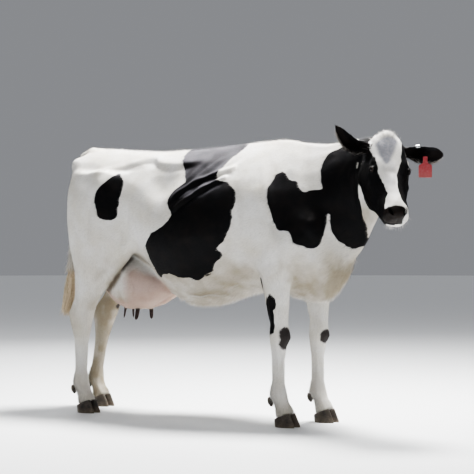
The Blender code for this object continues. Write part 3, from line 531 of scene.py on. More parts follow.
SIDE_LINES = [(rib(top), 0.030, high) for top, high in RIB_TOPS]
SIDE_LINES += [(rib(top + 0.036), 0.022, -0.5 * high) for top, high in RIB_TOPS[:3]]
FOLDS = [  # her skin hangs in two slanting folds over the last ribs
    [(0.110, 1.312), (0.084, 1.298), (-0.020, 1.262), (-0.117, 1.221), (-0.197, 1.164), (-0.235, 1.115)],
    [(0.085, 1.262), (0.056, 1.245), (-0.050, 1.185), (-0.161, 1.110), (-0.200, 1.070)],
]
for fold in FOLDS:
    SIDE_LINES.append((fold, 0.020, 0.0090))
    SIDE_LINES.append(([(x - 0.014, z - 0.030) for x, z in fold], 0.020, -0.0070))
SIDE_LINES += [
    ([(0.350, 0.990), (0.470, 1.000), (0.590, 1.000)], 0.105, -0.0140),  # below the point of the shoulder
    ([(0.235, 1.340), (0.300, 1.200), (0.365, 1.050)], 0.030, 0.0045),  # spine of the shoulder blade
    ([(0.130, 1.240), (0.170, 1.080), (0.200, 0.900)], 0.035, -0.0060),  # behind the shoulder
    ([(0.215, 0.840), (0.235, 0.760), (0.225, 0.690)], 0.016, -0.0050),  # fold behind the elbow
    ([(0.330, 1.060), (0.430, 0.930), (0.440, 0.780)], 0.030, -0.0050),  # between blade muscle and arm
    ([(0.500, 1.020), (0.560, 0.900), (0.540, 0.760)], 0.026, -0.0040),  # before the arm
    ([(-0.480, 1.080), (-0.440, 0.960), (-0.430, 0.870)], 0.024, 0.0060),  # fold of the flank
    ([(-0.520, 1.060), (-0.500, 0.950), (-0.520, 0.860)], 0.026, -0.0060),  # thigh's front, shallow
    ([(-0.760, 1.220), (-0.800, 1.060), (-0.800, 0.900)], 0.028, -0.0070),  # seam of the two thigh muscles
    ([(-0.545, 1.160), (-0.556, 1.040), (-0.575, 0.950), (-0.605, 0.860)], 0.022, -0.0100),  # its groove
    ([(-0.640, 0.820), (-0.740, 0.740), (-0.860, 0.640)], 0.022, -0.0040),  # under the ham
]
NECK_FOLDS = [  # on the side that she turns to
    ([(0.792, 1.290), (0.766, 1.170), (0.780, 1.030)], 0.018, -0.0040),
    ([(0.745, 1.330), (0.712, 1.180), (0.735, 1.000)], 0.022, -0.0034),
    ([(0.680, 1.320), (0.650, 1.170), (0.672, 0.980)], 0.026, -0.0022),
]
print("lines on each side:", len(SIDE_LINES), "and", len(NECK_FOLDS), "folds of the neck")

# %% [markdown]
# Each line raises the skin as a rounded ridge that dies away at both ends. A point moves along its own
# normal, so the same line works on any curve of the body. Three forms need rules of their own: the
# shelf of haunch and loin, the milk veins that wind along the belly, and a fine unevenness over all.

# %% Ridges and grooves of the body
def profile(away, along, width, fade=0.25):
    """A rounded ridge across, dying away at both ends."""
    ends = step(along, 0, fade) * step(1 - along, 0, fade)
    return np.exp(-((away / width) ** 2) * 2) * ends


def side_relief(points, lines, sides=(-1, 1)):
    """How much each point of the sides is raised by lines drawn in the x-z plane."""
    rise = np.zeros(len(points))
    side = points[:, 1] - MID
    for path, width, high in lines:
        away, along = from_line(points[:, [0, 2]], spline(path))
        rise += high * profile(away, along, width)
    clear = step(np.abs(side), 0.03, 0.08)
    wanted = np.isin(np.sign(side), sides)
    return rise * clear * wanted


SHELF = [(-0.900, 1.245), (-0.815, 1.291), (-0.650, 1.325), (-0.490, 1.369), (-0.420, 1.346),
         (-0.352, 1.333), (-0.213, 1.332), (-0.100, 1.345)]
HOLLOW_UNDER_SHELF = np.array(  # x and depth
    [(-0.80, 0.005), (-0.56, 0.007), (-0.45, 0.018), (-0.25, 0.014), (-0.12, 0.002)]
)


def shelf_relief(points):
    """Haunch and loin stand out like a shelf, with a hollow under it between the hook and last rib."""
    x, y, z = points.T
    below = np.interp(x, *spline(SHELF).T) - z
    ends = step(x, -0.90, -0.80) * step(-x, 0.10, 0.20)
    deep = np.interp(x, *HOLLOW_UNDER_SHELF.T)
    hollow = step(below, -0.004, 0.026) * (1 - step(below, 0.05, 0.19))
    lip = 0.0035 * np.exp(-(((below + 0.008) / 0.015) ** 2))
    return (lip - deep * hollow) * ends * step(np.abs(y - MID), 0.05, 0.09)


def underside_relief(points, normals):
    """The milk veins, which wind along the belly from the udder to the brisket."""
    rise = np.zeros(len(points))
    for side in (-1, 1):
        x = np.linspace(-0.44, 0.16, 25)
        wander = 0.022 * np.sin(23 * x + side) + 0.010 * np.sin(51 * x)
        path = np.stack([x, MID + side * (0.125 + wander)], axis=1)
        away, along = from_line(points[:, :2], path)
        rise += 0.0080 * profile(away, along, 0.010, 0.2) * step(-normals[:, 2], 0.3, 0.7)
    return rise * step(points[:, 2], 0.50, 0.54) * step(-points[:, 2], -0.80, -0.72)


def body_relief(points, normals):
    trunk = step(points[:, 2], 0.66, 0.74)
    rise = (side_relief(points, SIDE_LINES) + shelf_relief(points)) * trunk
    rise += side_relief(points, NECK_FOLDS, sides=(-1,)) * step(points[:, 0], 0.58, 0.62)
    rise += underside_relief(points, normals)
    rise += 0.0008 * grain(points, 0.070, 1)
    return rise


normals = normals_of(skin.data)
rise = body_relief(points, normals)
points += rise[:, None] * normals
put_points(skin.data, points)
print(f"the body rises by up to {1000 * rise.max():.1f} mm and sinks by up to {-1000 * rise.min():.1f} mm")

# %% [markdown]
# The udder hangs in two halves with a groove between them, and each half shows a faint waist between
# its fore and rear quarters. Veins run down over it. On the legs the tendons stand behind the cannon
# bone, with a groove between, and that groove is what makes a leg look dry and sound.

# %% Udder and legs
WAIST = [(-0.675, 0.55), (-0.690, 0.64), (-0.680, 0.72)]
UDDER_VEINS = ((-0.50, 0.010), (-0.60, -0.012), (-0.72, 0.012))  # where each starts, and how it bends


def udder_relief(points):
    x, y, z = points.T
    inside = step(x, -0.90, -0.86) * step(-x, 0.40, 0.46) * step(-z, -0.88, -0.80)
    rise = -0.012 * np.exp(-(((y - MID) / 0.016) ** 2)) * step(-z, -0.74, -0.64)
    away, along = from_line(points[:, [0, 2]], spline(WAIST))
    rise -= 0.0045 * profile(away, along, 0.028, 0.3)
    for start, bend in UDDER_VEINS:
        path = spline([(start, 0.80), (start + bend, 0.73), (start - bend, 0.67), (start - 0.02, 0.62)])
        away, along = from_line(points[:, [0, 2]], path)
        rise += 0.0040 * profile(away, along, 0.008, 0.3) * step(np.abs(y - MID), 0.05, 0.10)
    return rise * inside


LEGS = {}
for name in nodes:
    if name.endswith("cannon"):
        low, high = (np.array(corner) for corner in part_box(name))
        LEGS[name.replace("_cannon", "")] = (low, high)


def leg_relief(points):
    """Grooves between the cannon bones and the tendons behind them, on both faces of each leg."""
    rise = np.zeros(len(points))
    for name, (low, high) in LEGS.items():
        middle = 0.5 * (low + high)
        near = (np.abs(points[:, 1] - middle[1]) < 0.08) & (points[:, 2] < 0.62)
        near &= (points[:, 0] > low[0] - 0.05) & (points[:, 0] < high[0] + 0.05)
        at = points[near]
        lean = 0.20 if name == "hindleg_left" else 0.0
        foot = low[0] if "hind" in name else middle[0]
        back = foot + (0.036 if "hind" in name else -0.010) + lean * (at[:, 2] - 0.17)
        away = np.abs(at[:, 0] - back)
        span = step(at[:, 2], 0.17, 0.22) * step(-at[:, 2], -0.44, -0.36)
        rise[near] -= 0.0045 * np.exp(-((away / 0.010) ** 2)) * span
    return rise


normals = normals_of(skin.data)
points += (udder_relief(points) + leg_relief(points))[:, None] * normals
put_points(skin.data, points)
print("udder:", len(UDDER_VEINS), "veins on each side; tendons marked on", len(LEGS), "legs")

# %% [markdown]
# A cow's eyes sit wide, and look sideways and a little forward. Each opening is an almond, with the
# upper lid arched higher than the lower one. Eyes, nostrils and mouth are placed in the head's frame
# before anything is cut, because the fine faces have to lie along them.

# %% The places of the features
EYE_AT = {side: np.array((EYE_LINE, 0.0795 * sign, -0.0575)) for side, sign in SIDES.items()}
EYE_RADIUS = 0.020
GAZE = {side: np.array((0.30, 0.86 * sign, 0.41)) for side, sign in SIDES.items()}
LID_HALF_LENGTH = 0.0185
UPPER_LID, LOWER_LID = 0.0125, 0.0085


def eye_axes(side):
    """Along the opening towards the nose, up across it, and out along the gaze."""
    out = GAZE[side] / np.linalg.norm(GAZE[side])
    along = np.array((0.90, 0.0, 0.10))
    along = along - out * (along @ out)
    along /= np.linalg.norm(along)
    up = np.cross(out, along) * SIDES[side]
    return along, -up if up[2] < 0 else up, out


def opening(a, b):
    """How far a place is outside the almond-shaped opening, in metres; minus is inside it."""
    height = np.where(b > 0, UPPER_LID, LOWER_LID)
    return (np.abs(b) / height + (a / LID_HALF_LENGTH) ** 2 - 1) * height * 0.8


def snapped(a, b, reach=0.0009):
    """Slides the places nearest the opening's edge onto it, so that the lids' rims run clean."""
    height = np.where(b > 0, UPPER_LID, LOWER_LID)
    p, q = np.abs(b) / height, (a / LID_HALF_LENGTH) ** 2 + 1e-9
    scale = (-p + np.sqrt(p * p + 4 * q)) / (2 * q)
    close = np.abs(opening(a, b)) < reach
    scale = np.where(close, scale, 1.0)
    return a * scale, b * scale


NOSTRIL = [(0.474, 0.022, -0.052), (0.468, 0.034, -0.041), (0.456, 0.043, -0.035), (0.443, 0.048, -0.038)]
MOUTH = [(0.482, 0.000, -0.112), (0.472, 0.030, -0.112), (0.445, 0.052, -0.112), (0.400, 0.060, -0.108),
         (0.352, 0.060, -0.106)]


def on_side(path, side):
    return spline([(x, SIDES[side] * y, z) for x, y, z in path])


print("the eyes' openings are", 2 * LID_HALF_LENGTH, "m long and", UPPER_LID + LOWER_LID, "m high")

# %% [markdown]
# The skin's faces are the same size all over, but lids and nostrils need far finer ones than the trunk.
# A face is made finer by cutting it in four. The new faces keep the old flat shape, so the points among
# them are evened out again, pushed a little outwards each time so that the form doesn't shrink.

# %% Helpers for finer faces
def finer(thing, chosen):
    """Cuts the chosen faces in four."""
    work = bmesh.new()
    work.from_mesh(thing.data)
    work.verts.ensure_lookup_table()
    work.faces.ensure_lookup_table()
    edges = {edge for face, yes in zip(work.faces, chosen) if yes for edge in face.edges}
    bmesh.ops.subdivide_edges(work, edges=list(edges), cuts=1, use_grid_fill=True)
    work.to_mesh(thing.data)
    work.free()


def relaxed(thing, where, rounds):
    """Evens out the points in a region without shrinking it."""
    edges = edges_of(thing.data)
    inside = where[edges].any(axis=1)
    edges = edges[inside]
    points = points_of(thing.data)
    moving = np.zeros(len(points), bool)
    moving[edges.ravel()] = True
    moving &= where
    local = np.unique(edges)
    order = np.zeros(len(points), int)
    order[local] = np.arange(len(local))
    close, local_edges = points[local], order[edges]
    for _ in range(rounds):
        for push in (1.0, -1.04):
            eased = averaged(close, local_edges, 1)
            close = np.where(moving[local][:, None], close + push * (eased - close), close)
    points[local] = close
    put_points(thing.data, points)


print("faces before cutting:", len(skin.data.polygons))

# %% [markdown]
# The cutting is done in three rounds: the whole face, then a belt about each eye, nostril and the
# mouth, and last the narrow edges of the lids. Cutting everything so fine would give millions.

# %% Cut the face
centres = into(HEAD, face_centres(skin.data))
finer(skin, in_box(centres, (0.13, -0.13, -0.20), (0.52, 0.13, np.inf)))
at = into(HEAD, points_of(skin.data))
relaxed(skin, in_box(at, (0.12, -0.14, -0.22), (0.53, 0.14, np.inf)), 6)
centres = into(HEAD, face_centres(skin.data))
fine = np.zeros(len(centres), bool)
for side in SIDES:
    fine |= np.linalg.norm(centres - EYE_AT[side], axis=1) < 0.036
    fine |= from_line(centres, on_side(NOSTRIL, side))[0] < 0.018
    fine |= from_line(centres, on_side(MOUTH, side))[0] < 0.010
finer(skin, fine)
centres = into(HEAD, face_centres(skin.data))
fine = np.zeros(len(centres), bool)
for side in SIDES:
    along, up, out = eye_axes(side)
    offset = centres - EYE_AT[side]
    edge = np.abs(opening(offset @ along, offset @ up)) < 0.004
    fine |= edge & (offset @ out > 0.0) & (np.linalg.norm(offset, axis=1) < 0.03)
finer(skin, fine)
at = into(HEAD, points_of(skin.data))
near_eye = np.minimum(*(np.linalg.norm(at - EYE_AT[side], axis=1) for side in SIDES)) < 0.040
relaxed(skin, near_eye | in_box(at, (0.34, -0.10, -0.18), (0.52, 0.10, np.inf)), 6)
print("after cutting:", len(skin.data.polygons), "faces")

# %% [markdown]
# Little flesh covers a cow's skull, so its bones show: the rim of the eye socket, the crest below the
# cheek, and a hollow beside the nose bones. Broad forms are bells, raised or sunk, and the folds of skin
# are lines, as on the body. One list serves both sides, because a head is a mirror of itself.

# %% Bones and folds of the head
HEAD_MARKS = [  # centre, reach and height, on the left of the head
    ((0.186, 0.096, -0.062), (0.046, 0.040, 0.038), 0.0030),  # the whole socket stands a little proud
    ((0.166, 0.100, -0.026), (0.034, 0.024, 0.012), 0.0045),  # rim of the orbit
    ((0.225, 0.086, -0.080), (0.036, 0.022, 0.014), -0.0030),  # tear groove
    ((0.262, 0.080, -0.104), (0.060, 0.022, 0.012), 0.0035),  # facial crest
    ((0.330, 0.055, -0.050), (0.060, 0.022, 0.018), -0.0045),  # hollow beside the nose bones
    ((0.118, 0.104, -0.055), (0.030, 0.030, 0.018), -0.0045),  # temple
    ((0.135, 0.100, -0.150), (0.060, 0.040, 0.050), 0.0040),  # chewing muscle
    ((0.222, 0.080, -0.160), (0.020, 0.030, 0.050), -0.0025),  # its front edge
    ((0.462, 0.045, -0.085), (0.022, 0.020, 0.018), 0.0035),  # upper lip
    ((0.452, 0.034, -0.138), (0.028, 0.020, 0.014), 0.0040),  # lower lip
    ((0.345, 0.060, -0.110), (0.016, 0.020, 0.012), -0.0035),  # corner of the mouth
]
HEAD_RIDGES = [  # line, width and height: folds over and under the eye, and wrinkles about the mouth
    ([(0.150, 0.098, -0.036), (0.185, 0.105, -0.030), (0.215, 0.094, -0.045)], 0.006, 0.0018),
    ([(0.206, 0.092, -0.074), (0.222, 0.088, -0.092), (0.232, 0.084, -0.112)], 0.004, -0.0014),
    ([(0.360, 0.062, -0.096), (0.345, 0.064, -0.112), (0.350, 0.058, -0.130)], 0.005, -0.0018),
    ([(0.378, 0.062, -0.092), (0.368, 0.064, -0.108), (0.372, 0.058, -0.128)], 0.004, -0.0012),
    ([(0.436, 0.050, -0.030), (0.420, 0.056, -0.040), (0.412, 0.060, -0.058)], 0.005, -0.0016),
]


def head_relief(at, normals):
    rise = np.zeros(len(at))
    for sign in SIDES.values():
        mirror = np.array((1, sign, 1))
        for centre, reach, high in HEAD_MARKS:
            rise += high * bell(at * mirror, centre, reach)
        for path, width, high in HEAD_RIDGES:
            away, along = from_line(at * mirror, spline(path))
            rise += high * profile(away, along, width)
        away, along = from_line(at * mirror, spline(MOUTH))
        rise -= 0.0042 * np.exp(-((away / 0.0026) ** 2)) * step(1 - along, 0, 0.15)
        rise += 0.0016 * np.exp(-(((away - 0.0065) / 0.004) ** 2)) * step(1 - along, 0, 0.25)
    rise += 0.0035 * bell(at, (0.300, 0, -0.016), (0.130, 0.020, 0.030))
    rise -= 0.0020 * bell(at, (0.482, 0, -0.085), (0.012, 0.004, 0.026))
    return rise


def work_on(thing, change):
    """Applies a change to the skin's points in the head's frame."""
    points = points_of(thing.data)
    at = into(HEAD, points)
    near = in_box(at, (-0.10, -0.14, -0.30), (0.53, 0.14, np.inf))
    normals = normals_of(thing.data)[near] @ np.array(HEAD)[:3, :3]
    points[near] = out_of(HEAD, change(at[near], normals))
    put_points(thing.data, points)


work_on(skin, lambda at, normals: at + head_relief(at, normals)[:, None] * normals)
print("head:", len(HEAD_MARKS), "forms and", len(HEAD_RIDGES), "folds on each side")

# %% [markdown]
# The lids are the skin itself, drawn down onto a ball slightly bigger than the eye, and inside the
# almond-shaped opening the skin dives behind the eye. The nostrils are commas pressed into the muzzle.
# Pushing the skin about, in place of adding pieces, leaves no seam to hide.

# %% Lids and nostrils
def lids(at, side):
    """Draws the skin round one eye into lids. `at` holds the points in the head's frame."""
    along, up, out = eye_axes(side)
    offset = at - EYE_AT[side]
    near = (np.linalg.norm(offset, axis=1) < 0.050) & (offset @ out > 0.002)
    offset = offset[near]
    a, b = snapped(offset @ along, offset @ up)
    c = offset @ out
    offset = np.outer(a, along) + np.outer(b, up) + np.outer(c, out)
    reach = np.linalg.norm(offset, axis=1)
    beyond = opening(a, b)
    lid = EYE_RADIUS + 0.0026
    over = 0.5 * (reach + lid + np.sqrt((reach - lid) ** 2 + 0.003**2)) - 0.0008
    rim = 0.0009 * np.exp(-((beyond - 0.0022) / 0.0018) ** 2)
    fold = np.where(b > 0, 0.0026, 0.0013) * np.exp(-(((beyond - 0.0080) / 0.0020) ** 2))
    lift = np.where(b > 0, 0.0016, 0.0) * np.exp(-(((beyond - 0.0125) / 0.0032) ** 2))
    target = over + rim - fold + lift
    inside = EYE_RADIUS - 0.0045
    target = np.where(beyond < -0.0004, inside, target)
    at = at.copy()
    at[near] = EYE_AT[side] + offset / reach[:, None] * target[:, None]
    return at


def nostrils(at):
    """Presses both nostrils in, widest in the middle, and flares their rims."""
    for side, sign in SIDES.items():
        path = on_side(NOSTRIL, side)
        away, along = from_line(at, path)
        width = 0.0064 * np.sin(np.pi * (0.18 + 0.72 * along)) ** 0.7
        inward = np.array((-0.80, -0.30 * sign, -0.42))
        deep = 0.015 * (1 - step(away, 0.35 * width, 1.25 * width))
        flare = 0.0030 * np.exp(-(((away - 1.7 * width) / 0.005) ** 2))
        at = at + inward * (deep - flare)[:, None]
    return at


work_on(skin, lambda at, normals: lids(lids(at, "left"), "right"))
work_on(skin, lambda at, normals: nostrils(at))
print("lids and nostrils drawn in a skin of", len(skin.data.vertices), "points")

# %% [markdown]
# An ear is a thin cupped leaf, but its solid is thick so that it can be a real part. The side that
# faces out of the cup is pressed down towards the back, which leaves a wall a few millimetres thick
# with a rolled rim, as on the animal.

# %% Ears
EAR_WALL = 0.0045
EAR_STATIONS = {
    "left": (0.0, 0.028, 0.065, 0.105, 0.145, 0.172, 0.190, 0.200),
    "right": (0.0, 0.028, 0.065, 0.105, 0.148, 0.178, 0.200, 0.214),
}
EAR_DEPTHS = (0.036, 0.032, 0.024, 0.018, 0.015, 0.012, 0.010, 0.007)
EAR_HALF_WIDTHS = {
    "left": (0.019, 0.026, 0.039, 0.045, 0.043, 0.034, 0.019, 0.008),
    "right": (0.020, 0.028, 0.038, 0.042, 0.034, 0.024, 0.014, 0.006),
}


def cup(points, normals, side):
    """Presses the open side of an ear in, up to its rolled rim."""
    at, _ = in_ear(points, side)
    facing = normals @ np.array(EAR[side])[:3, 2]
    near = in_box(at, (0.0, -0.07, -0.06), (EAR_LENGTH + 0.01, 0.07, 0.06))
    x, y = at[:, 0], at[:, 1]
    deep = np.interp(x, EAR_STATIONS[side], EAR_DEPTHS)
    half = np.interp(x, EAR_STATIONS[side], EAR_HALF_WIDTHS[side])
    bowl = step(1 - np.abs(y / half), 0.08, 0.55) * step(x, 0.012, 0.05) * step(EAR_LENGTH - x, 0.0, 0.04)
    press = (deep - EAR_WALL) * bowl * step(facing, 0.1, 0.6) * near
    return points - press[:, None] * np.array(EAR[side])[:3, 2]


def on_ear(points, side, margin=0.0):
    at, _ = in_ear(points, side)
    return in_box(at, (0.01 - margin, -0.07, -0.06), (EAR_LENGTH + 0.03, 0.07, 0.06))


centres = face_centres(skin.data)
finer(skin, on_ear(centres, "left") | on_ear(centres, "right"))
points = points_of(skin.data)
relaxed(skin, on_ear(points, "left", 0.01) | on_ear(points, "right", 0.01), 24)
points = points_of(skin.data)
normals = normals_of(skin.data)
for side in SIDES:
    points = cup(points, normals, side)
put_points(skin.data, points)
relaxed(skin, on_ear(points, "left", 0.01) | on_ear(points, "right", 0.01), 6)
print("ears cupped to walls of", EAR_WALL, "m")

# %% [markdown]
# The sculpted skin is finer than anyone needs on the flat of the trunk. A Decimate modifier merges its
# faces down to a budget, and a vertex group makes the head, the ears and the udder give up the least.
# Then the skin is unwrapped. Its map is used for nothing in the render, and every tuft of the coat is
# mapped where its root stands.

# %% Thin the skin and unwrap it
SKIN_TRIANGLES = 190_000
KEEP = {"head": 0.9, "ear": 0.6, "udder": 0.35, "teat": 0.8, "trunk": 0, "neck": 0.1, "tail": 0.3,
        "forearm": 0.2, "thigh": 0.1, "cannon": 0.3, "pastern": 0.3}
BAKE_MAP = "OFBake"


def thinned(thing, triangles):
    keep = part_values(KEEP, points_of(thing.data))
    keep = averaged(keep, edges_of(thing.data), 6)
    thing.vertex_groups.clear()
    set_weights(thing, "spare", 1.0 - keep)
    have = sum(len(face.vertices) - 2 for face in thing.data.polygons)
    modify(
        thing, "thin", "DECIMATE", ratio=triangles / have, vertex_group="spare", vertex_group_factor=0.00003,
        use_collapse_triangulate=True,
    )
    return evaluated(thing, thing.name)


def unwrapped(thing):
    bpy.context.view_layer.objects.active = thing
    thing.select_set(True)
    thing.data.uv_layers.new(name=BAKE_MAP)
    bpy.ops.object.mode_set(mode="EDIT")
    bpy.ops.mesh.select_all(action="SELECT")
    bpy.ops.uv.smart_project(angle_limit=math.radians(60), island_margin=0.0008, area_weight=0.6)
    bpy.ops.object.mode_set(mode="OBJECT")
    thing.select_set(False)


skin = thinned(skin, SKIN_TRIANGLES)
unwrapped(skin)
skin.vertex_groups.clear()
shade_round(skin.data)
print("skin:", len(skin.data.polygons), "triangles")

# %% [markdown]
# Holsteins are black and white in large, sharp-edged patches. Each patch is an outline of a few points
# drawn on her side, seen square on, and every point of the skin stores how far inside the nearest
# patch it lies. A distance, unlike a plain yes or no, lets the shader draw an edge much finer than the
# mesh, and the tufts of hair that grow from the skin can carry the same number.

# %% Outlines of the patches
RIGHT_PATCHES = {
    "rump": [(-0.645, 1.290), (-0.606, 1.250), (-0.600, 1.200), (-0.608, 1.145), (-0.610, 1.080),
             (-0.628, 1.050), (-0.669, 1.036), (-0.722, 1.052), (-0.745, 1.095), (-0.766, 1.160),
             (-0.738, 1.212), (-0.690, 1.248)],
    "ribs": [(-0.275, 1.440), (0.060, 1.440), (0.045, 1.340), (0.018, 1.256), (0.085, 1.222),
             (0.152, 1.185), (0.148, 1.060), (0.108, 0.945), (0.064, 0.893), (0.080, 0.866),
             (0.045, 0.822), (-0.060, 0.742), (-0.190, 0.742), (-0.300, 0.764), (-0.372, 0.738),
             (-0.408, 0.850), (-0.412, 0.915), (-0.345, 0.965), (-0.205, 1.050), (-0.245, 1.120),
             (-0.238, 1.190), (-0.172, 1.232), (-0.215, 1.280), (-0.262, 1.340)],
    "shoulder": [(0.350, 1.280), (0.318, 1.225), (0.322, 1.145), (0.345, 1.062), (0.384, 0.988),
                 (0.452, 0.974), (0.470, 0.928), (0.508, 0.906), (0.558, 0.900), (0.598, 0.934),
                 (0.607, 1.000), (0.612, 1.092), (0.640, 1.170), (0.530, 1.184), (0.486, 1.176),
                 (0.446, 1.225), (0.405, 1.233)],
    "neck": [(0.592, 1.170), (0.560, 1.250), (0.556, 1.325), (0.580, 1.372), (0.640, 1.396),
             (0.740, 1.430), (0.900, 1.560), (1.100, 1.300), (0.850, 1.235), (0.806, 1.205),
             (0.802, 1.150), (0.806, 1.060), (0.812, 0.985), (0.800, 0.930), (0.740, 0.893),
             (0.690, 0.902), (0.655, 0.936), (0.628, 0.985), (0.612, 1.092)],
}
LEFT_PATCHES = {
    "rump": [(-0.960, 1.300), (-0.860, 1.360), (-0.720, 1.330), (-0.640, 1.240), (-0.660, 1.130),
             (-0.740, 1.010), (-0.790, 0.880), (-0.850, 0.850), (-0.900, 0.960), (-0.960, 1.080)],
    "ribs": [(-0.275, 1.440), (0.060, 1.440), (0.100, 1.330), (0.160, 1.230), (0.175, 1.090),
             (0.120, 0.960), (0.060, 0.820), (-0.040, 0.760), (-0.160, 0.800), (-0.260, 0.880),
             (-0.420, 0.900), (-0.480, 1.010), (-0.400, 1.120), (-0.330, 1.230), (-0.380, 1.320)],
    "shoulder": [(0.360, 1.190), (0.330, 1.080), (0.380, 0.960), (0.430, 0.860), (0.500, 0.830),
                 (0.560, 0.900), (0.600, 0.990), (0.590, 1.120), (0.500, 1.160), (0.430, 1.220)],
    "neck": [(0.600, 1.180), (0.560, 1.280), (0.580, 1.372), (0.640, 1.396), (0.740, 1.430),
             (0.900, 1.560), (1.100, 1.300), (0.900, 1.120), (0.830, 1.010), (0.760, 0.930),
             (0.690, 0.960), (0.640, 1.040)],
}


def inside_distance(places, outline, steps=5):
    """How far each place is inside a closed, rounded outline, in metres; minus is outside it."""
    rows = np.array(list(outline) + [outline[0]])
    loop = np.array(through(np.vstack([rows[-2], rows, rows[1]]), steps))
    away, _ = from_line(places, np.vstack([loop, loop[0]]))
    inside = np.zeros(len(places), bool)
    x, y = places.T
    for (x0, y0), (x1, y1) in zip(loop, np.roll(loop, -1, axis=0)):
        crosses = (y0 > y) != (y1 > y)
        inside ^= crosses & (x < (x1 - x0) * (y - y0) / (y1 - y0 + 1e-12) + x0)
    return np.where(inside, away, -away)


print("patches:", len(RIGHT_PATCHES), "on her right and", len(LEFT_PATCHES), "on her left")

# %% [markdown]
# The face has its own rules. It is black, with a white blaze whose two edges are given as distances
# from the middle at stations down the face, wide over the forehead, narrow along the nose and wide
# again over the muzzle. The left of the muzzle, the chin and the throat are white, and a thin white
# line over her left eye is a painted highlight on the rim of the brow.

# %% Markings of the head and legs
BLAZE = np.array([  # along the face, edge on her right, edge on her left
    (-0.060, -0.052, 0.050), (0.000, -0.084, 0.076), (0.045, -0.094, 0.074), (0.090, -0.087, 0.063),
    (0.120, -0.078, 0.053), (0.195, -0.067, 0.031), (0.255, -0.053, 0.020), (0.310, -0.040, 0.009),
    (0.352, -0.042, 0.009), (0.390, -0.057, 0.016), (0.420, -0.058, 0.036), (0.436, -0.052, 0.070),
    (0.448, -0.030, 0.090), (0.500, -0.026, 0.090),
])
# a thin white line over her left eye is a painted highlight on the rim of the brow
BROW_HIGHLIGHT = [(0.060, 0.076, -0.018), (0.105, 0.092, -0.034), (0.160, 0.096, -0.030)]  # over her left eye
THROAT = np.array([  # where the face's markings end and the neck's begin: along the face, and out of it
    (0.100, -0.222), (0.153, -0.228), (0.177, -0.250), (0.191, -0.270), (0.227, -0.294), (0.260, -0.292),
    (0.300, -0.270),
])
FLECK = [(0.041, -0.113, -0.172), (0.057, -0.117, -0.184)]  # a small white fleck below her right ear


def head_darkness(at):
    """How far inside the black each point of the head is."""
    x, y, z = at.T
    right = np.interp(x, BLAZE[:, 0], BLAZE[:, 1])
    left = np.interp(x, BLAZE[:, 0], BLAZE[:, 2])
    lowest = np.interp(y, (-0.045, -0.020, 0.010), (-0.055, -0.085, -0.112))  # her right lip is black
    blaze = np.minimum.reduce([y - right, left - y, z - lowest, x + 0.062])
    muzzle_left = np.minimum(x - 0.418, y - 0.030)
    chin = np.minimum.reduce([-0.116 - z, x - 0.410, y + 0.040])
    # the painted highlight over her left eye is drawn white
    to_brow_highlight, _ = from_line(at, spline(BROW_HIGHLIGHT))
    white = np.maximum.reduce([blaze, muzzle_left, chin, 0.0100 - to_brow_highlight])
    return -white


print("the blaze is", round(float((BLAZE[:, 2] - BLAZE[:, 1]).min()), 3), "m wide where it is narrowest")

# %% [markdown]
# Patches and the legs' spots are laid over each other, the deepest black wins, and the face goes on top.
# The flesh between the thighs stays white, although a patch drawn square on would reach through to it.
# Last, a broken grain roughens every edge, since the black of a coat never ends in a drawn line.

# %% All the black of the coat
LEG_PATCHES = [  # centre and reach
    ((0.315, -0.205, 0.565), (0.030, 0.040, 0.092)),
    ((0.335, -0.225, 0.620), (0.028, 0.030, 0.042)),
    ((0.262, -0.200, 0.690), (0.016, 0.040, 0.055)),
    ((0.330, 0.210, 0.560), (0.030, 0.040, 0.080)),
]


def darkness(points, nearest):
    """How far inside the nearest black patch each point is, in metres."""
    dark = np.full(len(points), -0.05)
    side = points[:, 1] - MID
    outwards = normals_of(skin.data)[:, 1]
    for sign, patches in ((-1, RIGHT_PATCHES), (1, LEFT_PATCHES)):
        here = side * sign > 0
        for outline in patches.values():
            dark[here] = np.maximum(dark[here], inside_distance(points[here][:, [0, 2]], outline))
        between = here * step(-points[:, 0], 0.50, 0.60) * step(-outwards * sign, 0.05, 0.30)
        cleft = here * step(-points[:, 0], 0.70, 0.80) * (1 - step(np.abs(side), 0.10, 0.16))
        between = np.maximum(between, cleft * (points[:, 2] < 1.25))
        dark -= 0.10 * between  # the flesh that faces inwards between the thighs stays white
    for centre, reach in LEG_PATCHES:
        away = np.linalg.norm((points - np.array(centre)) / np.array(reach), axis=1)
        dark = np.maximum(dark, (1 - away) * min(reach))
    at = into(HEAD, points)
    on_face = (nearest == "head") & (at[:, 2] > np.interp(at[:, 0], *THROAT.T))
    dark = np.where(on_face, head_darkness(at), dark)
    dark = np.where(np.isin(nearest, ["ear_left", "ear_right"]), 0.03, dark)
    rough = 0.0090 * grain(points, 0.050, 3) + 0.0045 * grain(points, 0.018, 4)
    fleck, _ = from_line(at, spline(FLECK))
    return np.clip(np.minimum(dark + rough, fleck - 0.0048 - 0.2 * rough), -0.05, 0.05)


points = points_of(skin.data)
nearest = np.array([owners[solid_tree.find_nearest(p)[2]] for p in points])
at_head = into(HEAD, points)
dark = darkness(points, nearest)
print("black share of the skin:", round(float((dark > 0).mean()), 2))

# %% [markdown]
# Besides black and white, the skin shows through where hair is thin: pink on the udder and dark inside
# the ears, dark and moist on the nose, dark on the teats and round the eyes. The nostrils and the line
# of the mouth are darkened as painted shade. Each is stored on the skin as a number from 0 to 1. Edges
# that follow a part of the body are found from the solid that lies nearest each point, and are evened
# out over a few neighbours.

# %% Bare skin, wet skin and painted shade in the recesses
skin_edges = edges_of(skin.data)
normals = normals_of(skin.data)


def share(*words, rounds=3):
    """1 where the nearest solid's name holds one of the words, fading to 0 over its border."""
    held = np.array([any(word in name for word in words) for name in nearest]) * 1.0
    return averaged(held, skin_edges, rounds)


